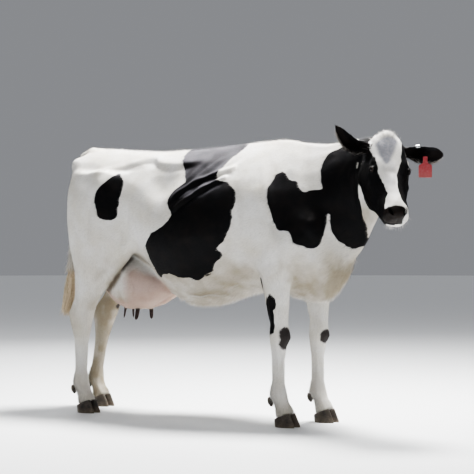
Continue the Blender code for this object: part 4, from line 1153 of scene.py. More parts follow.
def nose_pad(at):
    """The moist pad between and below the nostrils."""
    x, y, z = at.T
    top = 0.439 + 0.10 * np.abs(y + 0.015) - 0.005 * step(-y, 0.03, 0.06)
    left_edge = -0.034 - 0.006 * grain(at, 0.03, 21)
    within = step(y, -0.066, -0.060) * step(-y, left_edge, left_edge + 0.006)
    within *= step(z, -0.1100, -0.1040) * step(-z, 0.014, 0.020)
    return step(x - top, -0.003, 0.003) * within


pad = nose_pad(at_head) * (nearest == "head")
udder_bare = share("udder", rounds=10)
teats = share("teat", rounds=2)
inner_ear = np.zeros(len(points))
lid_rims = np.zeros(len(points))
recess = np.zeros(len(points))
for side in SIDES:
    local, _ = in_ear(points, side)
    facing = normals @ np.array(EAR[side])[:3, 2]
    middle = 1 - step(np.abs(local[:, 1]), 0.022, 0.042)
    inner_ear += on_ear(points, side) * step(facing, 0.2, 0.7) * middle
    along, up, out = eye_axes(side)
    offset = at_head - EYE_AT[side]
    close = (np.linalg.norm(offset, axis=1) < 0.034) & (offset @ out > 0)
    lid_rims += close * (1 - step(opening(offset @ along, offset @ up), 0.0030, 0.0065))
    # painted shade: the nostrils and the line of the mouth are darkened where the skin sinks in
    recess += 1 - step(from_line(at_head, on_side(NOSTRIL, side))[0], 0.004, 0.012)
    recess += 0.8 * (1 - step(from_line(at_head, on_side(MOUTH, side))[0], 0.0010, 0.0035))
lid_rims = np.clip(lid_rims, 0, 1)
recess = np.clip(recess, 0, 1) * (nearest == "head")
print("bare or wet points:", int(((pad + udder_bare + teats + inner_ear + lid_rims + recess) > 0.5).sum()))

# %% [markdown]
# A clean cow looks like a toy. Grass and mud leave tan stains on legs and tail, and a few dark smudges
# where she lies on her knees and hocks. The same tan under the belly, on the brisket and on the dewlap
# is partly dirt and partly painted shade and reflected light. The groin's crease is darkened as painted
# shade, the forehead and nose bridge are greyed as painted shade, and the black of the back is greyed
# where it faces up as a painted sheen, with some dust. A broken grain keeps every one of these from
# looking sprayed on.

# %% Stains, painted shade and painted sheen
KNEE_SMUDGES = [(0.392, -0.165, 0.462), (0.388, -0.160, 0.425), (0.436, 0.150, 0.440)]
HOCK_SMUDGES = [(-0.915, 0.170, 0.500), (-0.925, 0.165, 0.555)]
STAINED_HOCKS = [(-0.975, -0.165, 0.53), (-1.075, 0.175, 0.53)]
DEWLAP_REFLECTION = [(0.855, -0.110, 1.057), (0.813, -0.077, 0.984), (0.835, -0.095, 1.020)]
GROIN = [(-0.660, -0.088, 0.835), (-0.674, -0.134, 0.789), (-0.690, -0.164, 0.736), (-0.728, -0.160, 0.695),
         (-0.790, -0.128, 0.650)]  # the fold between her right thigh and udder
# outlines of the painted grey-blue shade on the forehead and the nose bridge, in the head's frame
FOREHEAD = [(0.052, -0.066), (0.026, -0.035), (0.019, 0.006), (0.039, 0.041), (0.072, 0.031),
            (0.125, 0.011), (0.178, -0.022), (0.168, -0.039), (0.131, -0.057), (0.087, -0.065)]
NOSE_BRIDGE = [(0.17, -0.05), (0.17, 0.01), (0.30, 0.0), (0.30, -0.03)]


def near_any(points, places, reach):
    away = np.min([np.linalg.norm(points - np.array(place), axis=1) for place in places], axis=0)
    return 1 - step(away, 0.5 * reach, reach)


x, y, z = points.T
# the tan under the belly, where it faces down, is partly dirt and partly painted shade and reflected light
belly = step(-normals[:, 2], -0.1, 0.8) * step(z, 0.50, 0.56) * (1 - step(z, 0.78, 0.98))
stain = 0.35 * (1 - step(z, 0.10, 0.62)) + 0.95 * belly
# the brisket's tan is likewise dirt with painted shade and reflected light
stain += 0.60 * bell(points, (0.62, 0.0, 0.80), (0.16, 0.20, 0.14))  # the brisket
stain += 0.45 * near_any(points, STAINED_HOCKS, 0.16)
stain += 0.85 * share("hindleg_left", rounds=12)
stain += 0.45 * share("tail", rounds=0) * (1 - step(z, 0.80, 1.15))
# the dewlap's tan is a painted reflection on its shaded underside
stain += 0.8 * near_any(points, DEWLAP_REFLECTION, 0.11)
stain *= 0.75 + 0.35 * grain(points, 0.09, 5) + 0.25 * grain(points, 0.03, 6)
stain = np.clip(stain, 0, 1)
smudge = np.maximum(near_any(points, KNEE_SMUDGES, 0.052), near_any(points, HOCK_SMUDGES, 0.045))

# painted shade: the crease between each thigh and the udder is darkened
mirrored = points * (1, -1, 1) + (0, 2 * MID, 0)
to_groin = np.minimum(*(from_line(half, spline(GROIN))[0] for half in (points, mirrored)))
grime = 1 - step(to_groin, 0.004, 0.026)
# painted sheen, with a little dust: the black of the back is greyed where it faces up, as if lit from above
bleach = step(normals[:, 2], 0.35, 0.95) * (1 - 0.75 * step(x, 0.30, 0.50)) * (nearest != "head")
bleach *= (z > 1.15) * np.clip(0.85 + 0.5 * grain(points, 0.05, 12), 0, 1)
# painted shade: the forehead and nose bridge, which face forward away from the top light, are greyed as if
# in shadow
ash = step(inside_distance(at_head[:, :2], FOREHEAD), -0.010, 0.012)
ash += 0.35 * step(inside_distance(at_head[:, :2], NOSE_BRIDGE), -0.01, 0.01)
ash = np.clip(ash, 0, 1) * (nearest == "head") * step(at_head[:, 2], -0.08, -0.04)
print("stained share of the skin:", round(float((stain > 0.3).mean()), 2))

# %% [markdown]
# Hair has a lie: back along the trunk, down the legs and tail, from the forehead's whorl down the face
# and up over the poll, and out along the ears. One arrow for each point of the skin, laid flat against
# it, tells both the tufts and the fine grain of the coat which way to run.

# %% The lie of the coat
WHORL = (0.125, 0.0, 0.0)  # where the hair of the forehead parts, in the head's frame
DOWN_THE_LEGS, BACK_ALONG_THE_BELLY, BACK_ALONG_THE_SIDES = (-0.12, 0, -1), (-1, 0, 0), (-1, 0, -0.42)


def lie_of_coat():
    flow = np.tile(BACK_ALONG_THE_SIDES, (len(points), 1))
    hanging = share("leg", "tail", "teat", rounds=12)[:, None]
    flow = flow * (1 - hanging) + np.array(DOWN_THE_LEGS) * hanging
    belly = step(-normals[:, 2], 0.2, 0.8)[:, None] * (1 - hanging)
    flow = flow * (1 - belly) + np.array(BACK_ALONG_THE_BELLY) * belly
    axes = np.array(HEAD)[:3, :3]
    face = (at_head - np.array(WHORL)) * np.array((1.0, 0.55, 0.35))
    face /= np.linalg.norm(face, axis=1)[:, None] + 1e-6
    face += 0.9 * step(at_head[:, 0], 0.10, 0.26)[:, None] * np.array((1.0, 0, -0.15))
    on_head = share("head", rounds=16)[:, None]
    flow = flow * (1 - on_head) + face @ axes.T * on_head
    for side in SIDES:
        on = on_ear(points, side)[:, None] * 1.0
        local, turn = in_ear(points, side)
        ear_axes = np.array(EAR[side])[:3, :3]
        spread = np.arctan(7 * local[:, 1]) + turn
        fan = np.stack([np.cos(spread), np.sin(spread), np.zeros(len(points))], axis=1)
        flow = flow * (1 - on) + fan @ ear_axes.T * on
    swirl = np.stack([grain(points, 0.20, seed) for seed in (7, 8, 9)], axis=1)
    flow = flow + 0.22 * swirl
    flow -= normals * (flow * normals).sum(axis=1)[:, None]
    return flow / (np.linalg.norm(flow, axis=1)[:, None] + 1e-9)


def store(mesh, name, values):
    """Keeps one number or one arrow for each point on the mesh, where shaders and trees can read it."""
    kind = "FLOAT_VECTOR" if values.ndim == 2 else "FLOAT"
    field = mesh.attributes.new(name, kind, "POINT")
    field.data.foreach_set("vector" if values.ndim == 2 else "value", values.astype(np.float32).ravel())


fields = {
    "dark": dark, "pad": pad, "pink": udder_bare, "teat": teats, "ear_skin": inner_ear, "lid": lid_rims,
    "recess": recess, "stain": stain, "ash": ash, "smudge": smudge, "grime": grime, "bleach": bleach,
    "lie": lie_of_coat(),
}
for name, values in fields.items():
    store(skin.data, name, values)
print("the skin now holds", len(fields), "fields:", ", ".join(fields))

# %% [markdown]
# Materials and hair are both trees of nodes. Joining them by hand takes three lines a node, so a small
# helper adds a node, sets what is given as a number and links what is given as a socket. It also has
# short names for the few nodes that come back in every finish.

# %% A helper for node trees
class Nodes:
    """A node tree under construction: adds nodes and joins their sockets."""

    def __init__(self, tree):
        self.tree = tree

    def add(self, kind, inputs=None, **settings):
        node = self.tree.nodes.new(kind)
        for key, value in settings.items():
            setattr(node, key, value)
        for key, value in (inputs or {}).items():
            if isinstance(value, bpy.types.NodeSocket):
                self.tree.links.new(value, node.inputs[key])
            else:
                node.inputs[key].default_value = value
        return node

    def field(self, name, output="Fac"):
        return self.add("ShaderNodeAttribute", attribute_name=name).outputs[output]

    def mix(self, share, low, high):
        node = self.add("ShaderNodeMix", {"Factor": share}, data_type="RGBA")
        for socket, value in ((node.inputs[6], low), (node.inputs[7], high)):
            if isinstance(value, bpy.types.NodeSocket):
                self.tree.links.new(value, socket)
            else:
                socket.default_value = value
        return node.outputs[2]

    def ramp(self, value, low, high, start=0.0, end=1.0):
        inputs = {"Value": value, "From Min": low, "From Max": high, "To Min": start, "To Max": end}
        return self.add("ShaderNodeMapRange", inputs).outputs["Result"]

    def math(self, operation, first, second=0.0):
        return self.add("ShaderNodeMath", {0: first, 1: second}, operation=operation).outputs[0]

    def noise(self, where, scale, detail=2.0, roughness=0.5):
        inputs = {"Vector": where, "Scale": scale, "Detail": detail, "Roughness": roughness}
        return self.add("ShaderNodeTexNoise", inputs).outputs["Fac"]

    def vector(self, operation, first, second=None, scale=None):
        inputs = {0: first}
        if second is not None:
            inputs[1] = second
        if scale is not None:
            inputs["Scale"] = scale
        return self.add("ShaderNodeVectorMath", inputs, operation=operation).outputs[0]

    def place(self):
        return self.add("ShaderNodeTexCoord").outputs["Object"]


print("short names for nodes:", [name for name in vars(Nodes) if not name.startswith("_")])


def new_material(name):
    made = bpy.data.materials.new(name)
    made.use_nodes = True
    made.node_tree.nodes.clear()
    return made, Nodes(made.node_tree)


def finish(build, inputs, bump=None):
    """Ends a material in a shader with these inputs, and a bump where there is one."""
    if bump is not None:
        inputs = {**inputs, "Normal": bump.outputs["Normal"]}
    shader = build.add("ShaderNodeBsdfPrincipled", inputs)
    build.add("ShaderNodeOutputMaterial", {"Surface": shader.outputs["BSDF"]})


# %% [markdown]
# One recipe colours both the skin and the hair on it, so a tuft always matches the patch it grows
# from. It is a group of nodes: the patch distance, frayed by a fine noise, chooses black or white;
# tan stains with painted shade and reflection under the body, painted shade on the forehead and in the
# groin, a painted sheen on the black of the back, pink skin and the dark bare parts are mixed in over that.

# %% The coat's colour
BLACK_HAIR, BROWNED_HAIR = (0.0078, 0.0075, 0.0088, 1), (0.0150, 0.0120, 0.0112, 1)
# BLACK_SHEEN_AND_DUST is a painted sheen on the black of the back, with some dust
BLACK_SHEEN_AND_DUST = (0.165, 0.160, 0.178, 1)  # black hair greyed by sun and dust
WHITE_HAIR, CREAM_HAIR = (0.80, 0.79, 0.77, 1), (0.70, 0.67, 0.60, 1)
# STAIN_AND_SHADE is tan for stains, and for painted shade and reflection under the body; GROIN_SHADE is
# painted shade in the groin's crease
STAIN_AND_SHADE, GROIN_SHADE = (0.305, 0.250, 0.158, 1), (0.105, 0.070, 0.045, 1)
# FACE_SHADE is the grey-blue of painted shade on the forehead and nose bridge
FACE_SHADE, SMUDGE = (0.185, 0.190, 0.230, 1), (0.060, 0.052, 0.050, 1)
UDDER_PINK, EAR_SKIN = (0.44, 0.290, 0.235, 1), (0.016, 0.012, 0.011, 1)
LID_SKIN, TEAT_SKIN = (0.012, 0.010, 0.010, 1), (0.060, 0.042, 0.038, 1)


def coat_colour_group():
    group = bpy.data.node_groups.new("coat_colour", "ShaderNodeTree")
    group.interface.new_socket("Colour", in_out="OUTPUT", socket_type="NodeSocketColor")
    build = Nodes(group)
    place = build.place()
    fray = build.ramp(build.noise(place, 210, 3, 0.7), 0, 1, -0.0042, 0.0042)
    black = build.ramp(build.math("ADD", build.field("dark"), fray), -0.0012, 0.0012)
    cloudy = build.noise(place, 7, 4)
    white = build.mix(build.ramp(cloudy, 0.35, 0.75), WHITE_HAIR, CREAM_HAIR)
    mottle = build.ramp(build.noise(place, 70, 3, 0.6), 0, 1, 0.62, 1.0)
    # painted shade on the forehead and nose bridge, mottled
    white = build.mix(build.math("MULTIPLY", build.field("ash"), mottle), white, FACE_SHADE)
    # tan: stains on the legs and tail, and painted shade and reflected light under the belly, brisket and
    # dewlap
    white = build.mix(build.math("MULTIPLY", build.field("stain"), 0.82), white, STAIN_AND_SHADE)
    torn = build.ramp(build.noise(place, 60, 4, 0.6), 0, 1, -0.45, 0.45)
    patchy = build.ramp(build.math("ADD", build.field("smudge"), torn), 0.30, 0.75)
    white = build.mix(patchy, white, SMUDGE)
    # painted shade in the groin's crease
    white = build.mix(build.math("MULTIPLY", build.field("grime"), 0.8), white, GROIN_SHADE)
    sheen = build.ramp(build.noise(place, 16, 3), 0.45, 0.8)
    # painted sheen, with dust, where the black of the back faces up
    dark_hair = build.mix(build.field("bleach"), build.mix(sheen, BLACK_HAIR, BROWNED_HAIR), BLACK_SHEEN_AND_DUST)
    hair = build.mix(black, white, dark_hair)
    colour = build.mix(build.math("MULTIPLY", build.field("pink"), 0.72), hair, UDDER_PINK)
    colour = build.mix(build.field("ear_skin"), colour, EAR_SKIN)
    colour = build.mix(build.field("teat"), colour, TEAT_SKIN)
    colour = build.mix(build.field("lid"), colour, LID_SKIN)
    build.add("NodeGroupOutput", {"Colour": colour})
    return group


COAT_COLOUR = coat_colour_group()
print("the coat's recipe:", len(COAT_COLOUR.nodes), "nodes")

# %% [markdown]
# Between the tufts the skin itself shows, so it carries a fine grain of hairs: a noise, drawn out along
# the lie. The nose pad is pebbled and wet instead.

# %% Hide
WET_BLACK, WET_BROWN = (0.014, 0.011, 0.010, 1), (0.021, 0.013, 0.010, 1)
# RECESS_SHADE is painted shade for the nostrils and the line of the mouth
RECESS_SHADE = (0.004, 0.003, 0.003, 1)


def hide_material():
    made, build = new_material("hide")
    base = build.add("ShaderNodeGroup", node_tree=COAT_COLOUR)
    place = build.place()
    pad, recess = build.field("pad"), build.field("recess")
    mottled = build.mix(build.ramp(build.noise(place, 75, 3), 0.4, 0.7), WET_BLACK, WET_BROWN)
    colour = build.mix(pad, base.outputs["Colour"], mottled)
    # painted shade in the nostrils and along the mouth
    colour = build.mix(recess, colour, RECESS_SHADE)
    lie = build.field("lie", "Vector")
    along = build.add("ShaderNodeVectorMath", {0: place, 1: lie}, operation="DOT_PRODUCT").outputs["Value"]
    shift = build.vector("SCALE", lie, scale=build.math("MULTIPLY", along, 0.88))
    hairs = build.noise(build.vector("SUBTRACT", place, shift), 620, 2, 0.6)
    pebbles = build.add("ShaderNodeTexVoronoi", {"Vector": place, "Scale": 330.0}, feature="SMOOTH_F1")
    sunk = build.math("MULTIPLY", pebbles.outputs["Distance"], -1.6)
    height = build.add("ShaderNodeMix", {"Factor": pad, "A": hairs, "B": sunk}).outputs["Result"]
    bump = build.add("ShaderNodeBump", {"Height": height, "Distance": 0.0012, "Strength": 0.55})
    roughness = build.ramp(pad, 0, 1, 0.62, 0.36)
    finish(build, {"Base Color": colour, "Roughness": roughness, "Specular IOR Level": 0.22}, bump)
    return made


HIDE = hide_material()
skin.data.materials.clear()
skin.data.materials.append(HIDE)
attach(skin, "root")
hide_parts(*FLESH)
print("the hide takes the place of", len(FLESH), "solids")

# %% [markdown]
# Tufts take the colour of their root, and each is a little lighter or darker than its neighbours, which
# keeps the coat from looking painted. Light is lost between hairs, so their gloss is kept low.

# %% Hair
def hair_material():
    made, build = new_material("hair")
    base = build.add("ShaderNodeGroup", node_tree=COAT_COLOUR)
    vary = build.ramp(build.field("shade"), 0, 1, 0.78, 1.12)
    colour = build.vector("SCALE", base.outputs["Colour"], scale=vary)
    finish(build, {"Base Color": colour, "Roughness": 0.55, "Specular IOR Level": 0.20})
    return made


def plain_hair_material(name, low, high):
    """Hair of one colour, light and dark from tuft to tuft, for the fringe of the ears and the switch."""
    made, build = new_material(name)
    place = build.place()
    share = build.math("MULTIPLY", build.math("ADD", build.field("shade"), build.noise(place, 60, 2)), 0.5)
    colour = build.mix(share, low, high)
    finish(build, {"Base Color": colour, "Roughness": 0.55, "Specular IOR Level": 0.30})
    return made


HAIR = hair_material()
FRINGE = plain_hair_material("fringe", (0.14, 0.130, 0.120, 1), (0.60, 0.56, 0.51, 1))
SWITCH = plain_hair_material("switch", (0.34, 0.26, 0.165, 1), (0.78, 0.68, 0.52, 1))
print("hair:", [made.name for made in (HAIR, FRINGE, SWITCH)])

# %% [markdown]
# The eye is a ball with a clear bulge over the iris. It sits behind the lids, where the solid eye was.
# Its colours are rings and an oval measured from the line of sight, kept as numbers on its points: a
# near-black pupil lying sideways, a dark brown iris, a dusky rim, and a paler white of the eye.

# %% Eyes
IRIS_RADIUS, RIM_RADIUS = 0.0150, 0.0176
PUPIL = (0.0075, 0.0042)  # half its length and half its height: it lies sideways


def eyeball(side):
    along, _, out = eye_axes(side)
    work = bmesh.new()
    bmesh.ops.create_uvsphere(work, u_segments=48, v_segments=32, radius=1.0)
    mesh = bpy.data.meshes.new(f"eyeball_{side}")
    work.to_mesh(mesh)
    ball = points_of(mesh)
    turn = np.arccos(np.clip(ball[:, 2], -1, 1))
    bulge = 0.0010 * np.exp(-((turn / 0.62) ** 4))
    radius = EYE_RADIUS + 0.0004 + bulge
    place = radius[:, None] * (ball @ np.array((along, np.cross(out, along), out)))
    put_points(mesh, out_of(HEAD, EYE_AT[side] + place))
    fix = bmesh.new()
    fix.from_mesh(mesh)
    bmesh.ops.recalc_face_normals(fix, faces=fix.faces)
    fix.to_mesh(mesh)
    across = ball[:, 0] * EYE_RADIUS
    height = ball[:, 1] * EYE_RADIUS
    store(mesh, "iris", np.where(ball[:, 2] > 0, np.hypot(across, height), 0.02))
    store(mesh, "pupil", np.where(ball[:, 2] > 0, np.hypot(across / PUPIL[0], height / PUPIL[1]), 3.0))
    shade_round(mesh)
    thing = new_object(f"eyeball_{side}", mesh)
    mesh.materials.append(EYE)
    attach(thing, "root")
    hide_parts(f"eye_{side}")
    return thing


def eye_material():
    made, build = new_material("eye")
    place = build.place()
    streaks = build.noise(place, 900, 2)
    iris = build.mix(streaks, (0.016, 0.0075, 0.0045, 1), (0.050, 0.022, 0.010, 1))
    dusky = build.ramp(build.field("iris"), IRIS_RADIUS - 0.0008, IRIS_RADIUS + 0.0008)
    colour = build.mix(dusky, iris, (0.040, 0.024, 0.020, 1))
    pale = build.ramp(build.field("iris"), RIM_RADIUS - 0.0010, RIM_RADIUS + 0.0010)
    colour = build.mix(pale, colour, (0.10, 0.07, 0.065, 1))
    colour = build.mix(build.ramp(build.field("pupil"), 1.10, 0.90), colour, (0.003, 0.004, 0.007, 1))
    wet = {"Roughness": 0.08, "Specular IOR Level": 0.3, "Coat Weight": 0.35, "Coat Roughness": 0.02}
    finish(build, {"Base Color": colour, **wet})
    return made


EYE = eye_material()
eyeballs = [eyeball(side) for side in SIDES]
print("eyes:", [thing.name for thing in eyeballs])

# %% [markdown]
# A claw is a horn shoe that grows down from the hairline about half a centimetre a month, and every
# change of feed leaves a ring round it. The solid claw is remeshed and eased, cut flat again at the
# floor, and grooved by rings that follow its slope.

# %% The shape of a claw
RING_SPACING = 0.0085


def horn_shell(name):
    """One claw's horn, made from its solid."""
    low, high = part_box(name)
    big = "dewclaw" not in name
    work = merged_copy(name)
    mesh = bpy.data.meshes.new(f"horn_{name}")
    work.to_mesh(mesh)
    thing = new_object(f"horn_{name}", mesh)
    modify(thing, "even", "REMESH", mode="VOXEL", voxel_size=0.0028 if big else 0.0020)
    modify(thing, "ease", "SMOOTH", factor=0.5, iterations=12 if big else 8)
    thing = evaluated(thing, f"horn_{name}")
    points = points_of(thing.data)
    normals = normals_of(thing.data)
    down = (high[2] - points[:, 2]) + 0.25 * (points[:, 0] - low[0])  # rings sink towards the heel
    wall = step(1 - np.abs(normals[:, 2]), 0.05, 0.4) * step(points[:, 2], 0.004, 0.012)
    rings = np.sin(2 * np.pi * (down / RING_SPACING + 0.35 * grain(points, 0.03, 11)))
    height = 0.00050 * rings if big else 0.00018 * rings
    points += height[:, None] * normals * wall[:, None]
    if big:
        flat = points[:, 2] < 0.0030
        points[flat, 2] = 0.0
    put_points(thing.data, points)
    shade_round(thing.data)
    store(thing.data, "ring", np.clip(rings * wall, -1, 1))
    thing.data.materials.append(HORN)
    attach(thing, "root")
    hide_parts(name)
    return thing


print("claws to make:", sum("claw" in name for name in nodes))

# %% [markdown]
# Horn is brown-grey and mottled, darker in the grooves of its rings, with fine fibres that run down it.
# Near the floor it is dusty, because a claw is never clean.

# %% The look of horn
def horn_material():
    made, build = new_material("horn")
    place = build.place()
    mottled = build.ramp(build.noise(place, 26, 4, 0.6), 0.35, 0.7)
    colour = build.mix(mottled, (0.060, 0.053, 0.048, 1), (0.155, 0.128, 0.100, 1))
    grooves = build.ramp(build.field("ring"), -0.2, -1.0, 0, 0.45)
    colour = build.mix(grooves, colour, (0.055, 0.045, 0.036, 1))
    near_floor = build.ramp(build.add("ShaderNodeSeparateXYZ", {0: place}).outputs["Z"], 0.030, 0.0)
    dust = build.math("MULTIPLY", near_floor, build.ramp(build.noise(place, 60, 4, 0.7), 0.3, 0.8))
    colour = build.mix(dust, colour, (0.30, 0.25, 0.18, 1))
    squeeze = build.add("ShaderNodeMapping", {"Vector": place, "Scale": (1, 1, 0.16)}).outputs[0]
    fibres = build.noise(squeeze, 700, 3, 0.6)
    bump = build.add("ShaderNodeBump", {"Height": fibres, "Distance": 0.0006, "Strength": 0.4})
    finish(build, {"Base Color": colour, "Roughness": 0.42}, bump)
    return made


HORN = horn_material()
claws = [horn_shell(name) for name in nodes if "claw" in name]
print("horn pieces:", len(claws), "with", sum(len(c.data.polygons) for c in claws), "faces")

# %% [markdown]
# The ear tag is moulded plastic on a stud, and the same ear carries a small steel clip. Their solids
# are already the right shape, so they stay and only get a finish: plastic that is scuffed and paler
# towards its lower end, and steel that has been rubbed by hair and hay.

# %% Tag and clip
def plastic_material():
    made, build = new_material("tag_plastic")
    place = build.place()
    worn = build.ramp(build.noise(place, 120, 4, 0.65), 0.48, 0.72)
    low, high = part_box("tag_panel")
    height = build.add("ShaderNodeSeparateXYZ", {0: place}).outputs["Z"]
    paler_below = build.ramp(height, low[2] + 0.6 * (high[2] - low[2]), low[2], 0.0, 0.55)
    colour = build.mix(paler_below, (0.45, 0.065, 0.075, 1), (0.54, 0.20, 0.19, 1))
    colour = build.mix(build.math("MULTIPLY", worn, 0.35), colour, (0.52, 0.31, 0.30, 1))
    pores = build.noise(place, 900, 2)
    bump = build.add("ShaderNodeBump", {"Height": pores, "Distance": 0.0003, "Strength": 0.3})
    finish(build, {"Base Color": colour, "Roughness": 0.48}, bump)
    return made


def steel_material():
    made, build = new_material("clip_steel")
    place = build.place()
    drawn_out = build.add("ShaderNodeMapping", {"Vector": place, "Scale": (1, 1, 9)}).outputs[0]
    scratched = build.noise(drawn_out, 400, 3)
    colour = build.mix(scratched, (0.42, 0.43, 0.44, 1), (0.68, 0.69, 0.70, 1))
    roughness = build.ramp(scratched, 0, 1, 0.25, 0.5)
    finish(build, {"Base Color": colour, "Roughness": roughness, "Metallic": 1.0})
    return made


def refinish(name, material):
    for slot in nodes[name].material_slots:
        slot.material = material


PLASTIC, STEEL = plastic_material(), steel_material()
refinish("tag_panel", PLASTIC)
refinish("tag_stud", PLASTIC)
refinish("ear_clip", STEEL)
print("kept from the solids:", [name for name in nodes if "tag" in name or "clip" in name])

# %% [markdown]
# The coat is made of tufts, each a closed sliver a few millimetres wide that stands for a few dozen
# hairs. Geometry Nodes scatter points over a copy of the skin, set a tuft on each along the lie, bend
# it, and turn the lot into one mesh. Particle hair would look alike here but would be lost when the
# model is exported. A few more short names come first, for what a tuft remembers and what is random.

# %% A helper for hair
TUFT_PATCH = 0.003  # size of a tuft on the map


class HairNodes(Nodes):
    """Nodes that store, read and forget a tuft's own values, and draw lots for them."""

    def named(self, name, kind="FLOAT"):
        node = self.add("GeometryNodeInputNamedAttribute", {"Name": name}, data_type=kind)
        return node.outputs["Attribute"]

    def arrow(self, name):
        return self.named(name, "FLOAT_VECTOR")

    def stored(self, geometry, name, value, kind="FLOAT", domain="POINT"):
        inputs = {"Geometry": geometry, "Name": name, "Value": value}
        node = self.add("GeometryNodeStoreNamedAttribute", inputs, data_type=kind, domain=domain)
        return node.outputs["Geometry"]

    def forgotten(self, geometry, name):
        node = self.add("GeometryNodeRemoveAttribute", {"Geometry": geometry, "Name": name})
        return node.outputs["Geometry"]

    def chance(self, seed, low, high):
        """A random number between two others."""
        made = self.add("FunctionNodeRandomValue", {"Seed": seed}, data_type="FLOAT")
        made.inputs[2].default_value = low
        made.inputs[3].default_value = high
        return made.outputs[1]

    def any_way(self, seed):
        """A random arrow, between -1 and 1 along each axis."""
        made = self.add("FunctionNodeRandomValue", {"Seed": seed}, data_type="FLOAT_VECTOR")
        made.inputs[0].default_value = (-1, -1, -1)
        made.inputs[1].default_value = (1, 1, 1)
        return made.outputs[0]


print("more short names for hair:", [name for name in vars(HairNodes) if not name.startswith("_")])

# %% [markdown]
# The roots come first. They are scattered over the skin at random, and each draws lots once for its
# length, its shade and the way it bends. Each tuft is then turned along the lie, a little astray and
# a little lifted, as real hair is.

# %% Roots of the tufts
def scattered_roots(build, given):
    """Points with all that a tuft needs to know, how each is turned, and how big it is."""
    lots = [build.math("ADD", given["Seed"], float(shift)) for shift in (1, 2, 3, 4)]
    density = build.math("MULTIPLY", given["Density"], build.named("cover"))
    scatter = build.add(
        "GeometryNodeDistributePointsOnFaces",
        {"Mesh": given["Geometry"], "Density": density, "Seed": given["Seed"]},
        distribute_method="RANDOM",
    )
    normal = scatter.outputs["Normal"]
    roots = build.stored(scatter.outputs["Points"], "root", build.arrow(BAKE_MAP), "FLOAT_VECTOR")
    roots = build.stored(roots, "shade", build.chance(lots[0], 0.0, 1.0))
    longer = build.math("MULTIPLY", build.named("lengths"), build.chance(lots[1], 0.65, 1.25))
    roots = build.stored(roots, "long", build.math("MULTIPLY", given["Length"], longer))
    bend = build.vector("SCALE", build.any_way(lots[2]), scale=given["Curl"])
    fall = build.add("ShaderNodeCombineXYZ", {"Z": build.math("MULTIPLY", given["Droop"], -1.0)}).outputs[0]
    roots = build.stored(roots, "bend", build.vector("ADD", bend, fall), "FLOAT_VECTOR")
    roots = build.stored(roots, "out", build.vector("SCALE", normal, scale=given["Bulge"]), "FLOAT_VECTOR")
    roots = build.forgotten(roots, BAKE_MAP)
    stray = build.vector("SCALE", build.any_way(lots[3]), scale=given["Stray"])
    rise = build.vector("SCALE", normal, scale=given["Lift"])
    way = build.vector("ADD", build.vector("ADD", build.arrow("lie"), stray), rise)
    turn = build.add(
        "FunctionNodeAxesToRotation", {"Primary Axis": way, "Secondary Axis": normal},
        primary_axis="X", secondary_axis="Z",
    ).outputs["Rotation"]
    size = build.add(
        "ShaderNodeCombineXYZ", {"X": build.named("long"), "Y": given["Width"], "Z": given["Thickness"]}
    ).outputs[0]
    return roots, turn, size


print("a tuft's length varies from 0.65 to 1.25 of its piece's")

# %% [markdown]
# One tuft is a three-sided cone, laid on its side and a little fuller before its tip. A flat blade would
# be cheaper, but it vanishes edge on, and a real part needs a closed skin. The cone also carries where
# each of its points is, so that it can be bent and mapped once it stands among the others.

# %% The shape of one tuft
def one_tuft(build, sections):
    """A cone of length 1 along x, cut into `sections` so that it can bend."""
    cone = build.add(
        "GeometryNodeMeshCone",
        {"Vertices": 3, "Side Segments": sections, "Fill Segments": 1, "Radius Top": 0.0,
         "Radius Bottom": 0.5, "Depth": 1.0},
        fill_type="NGON",
    )
    x, y, z = build.add(
        "ShaderNodeSeparateXYZ", {0: build.add("GeometryNodeInputPosition").outputs[0]}
    ).outputs
    tuft = build.stored(cone.outputs["Mesh"], "along", z)
    patch = build.add("ShaderNodeCombineXYZ", {"X": z, "Y": build.math("ADD", y, 0.5)}).outputs[0]
    tuft = build.stored(tuft, "patch", patch, "FLOAT_VECTOR")
    fuller = build.math("MULTIPLY", y, build.math("ADD", 1.0, build.math("MULTIPLY", z, 0.8)))
    laid = build.add(
        "ShaderNodeCombineXYZ", {"X": z, "Y": fuller, "Z": build.math("MULTIPLY", x, -1.0)}
    ).outputs[0]
    return build.add("GeometryNodeSetPosition", {"Geometry": tuft, "Position": laid}).outputs["Geometry"]


print("a tuft of one section has 4 faces, and each further one adds 3")

# %% [markdown]
# Last, a tuft is set on each root and all of them are turned into one mesh, because only real geometry
# leaves Blender. Then each tuft bends, more and more towards its tip, and bulges a little in its middle.
# It is mapped as a speck at its root's place, and all that was stored on the way is thrown out.

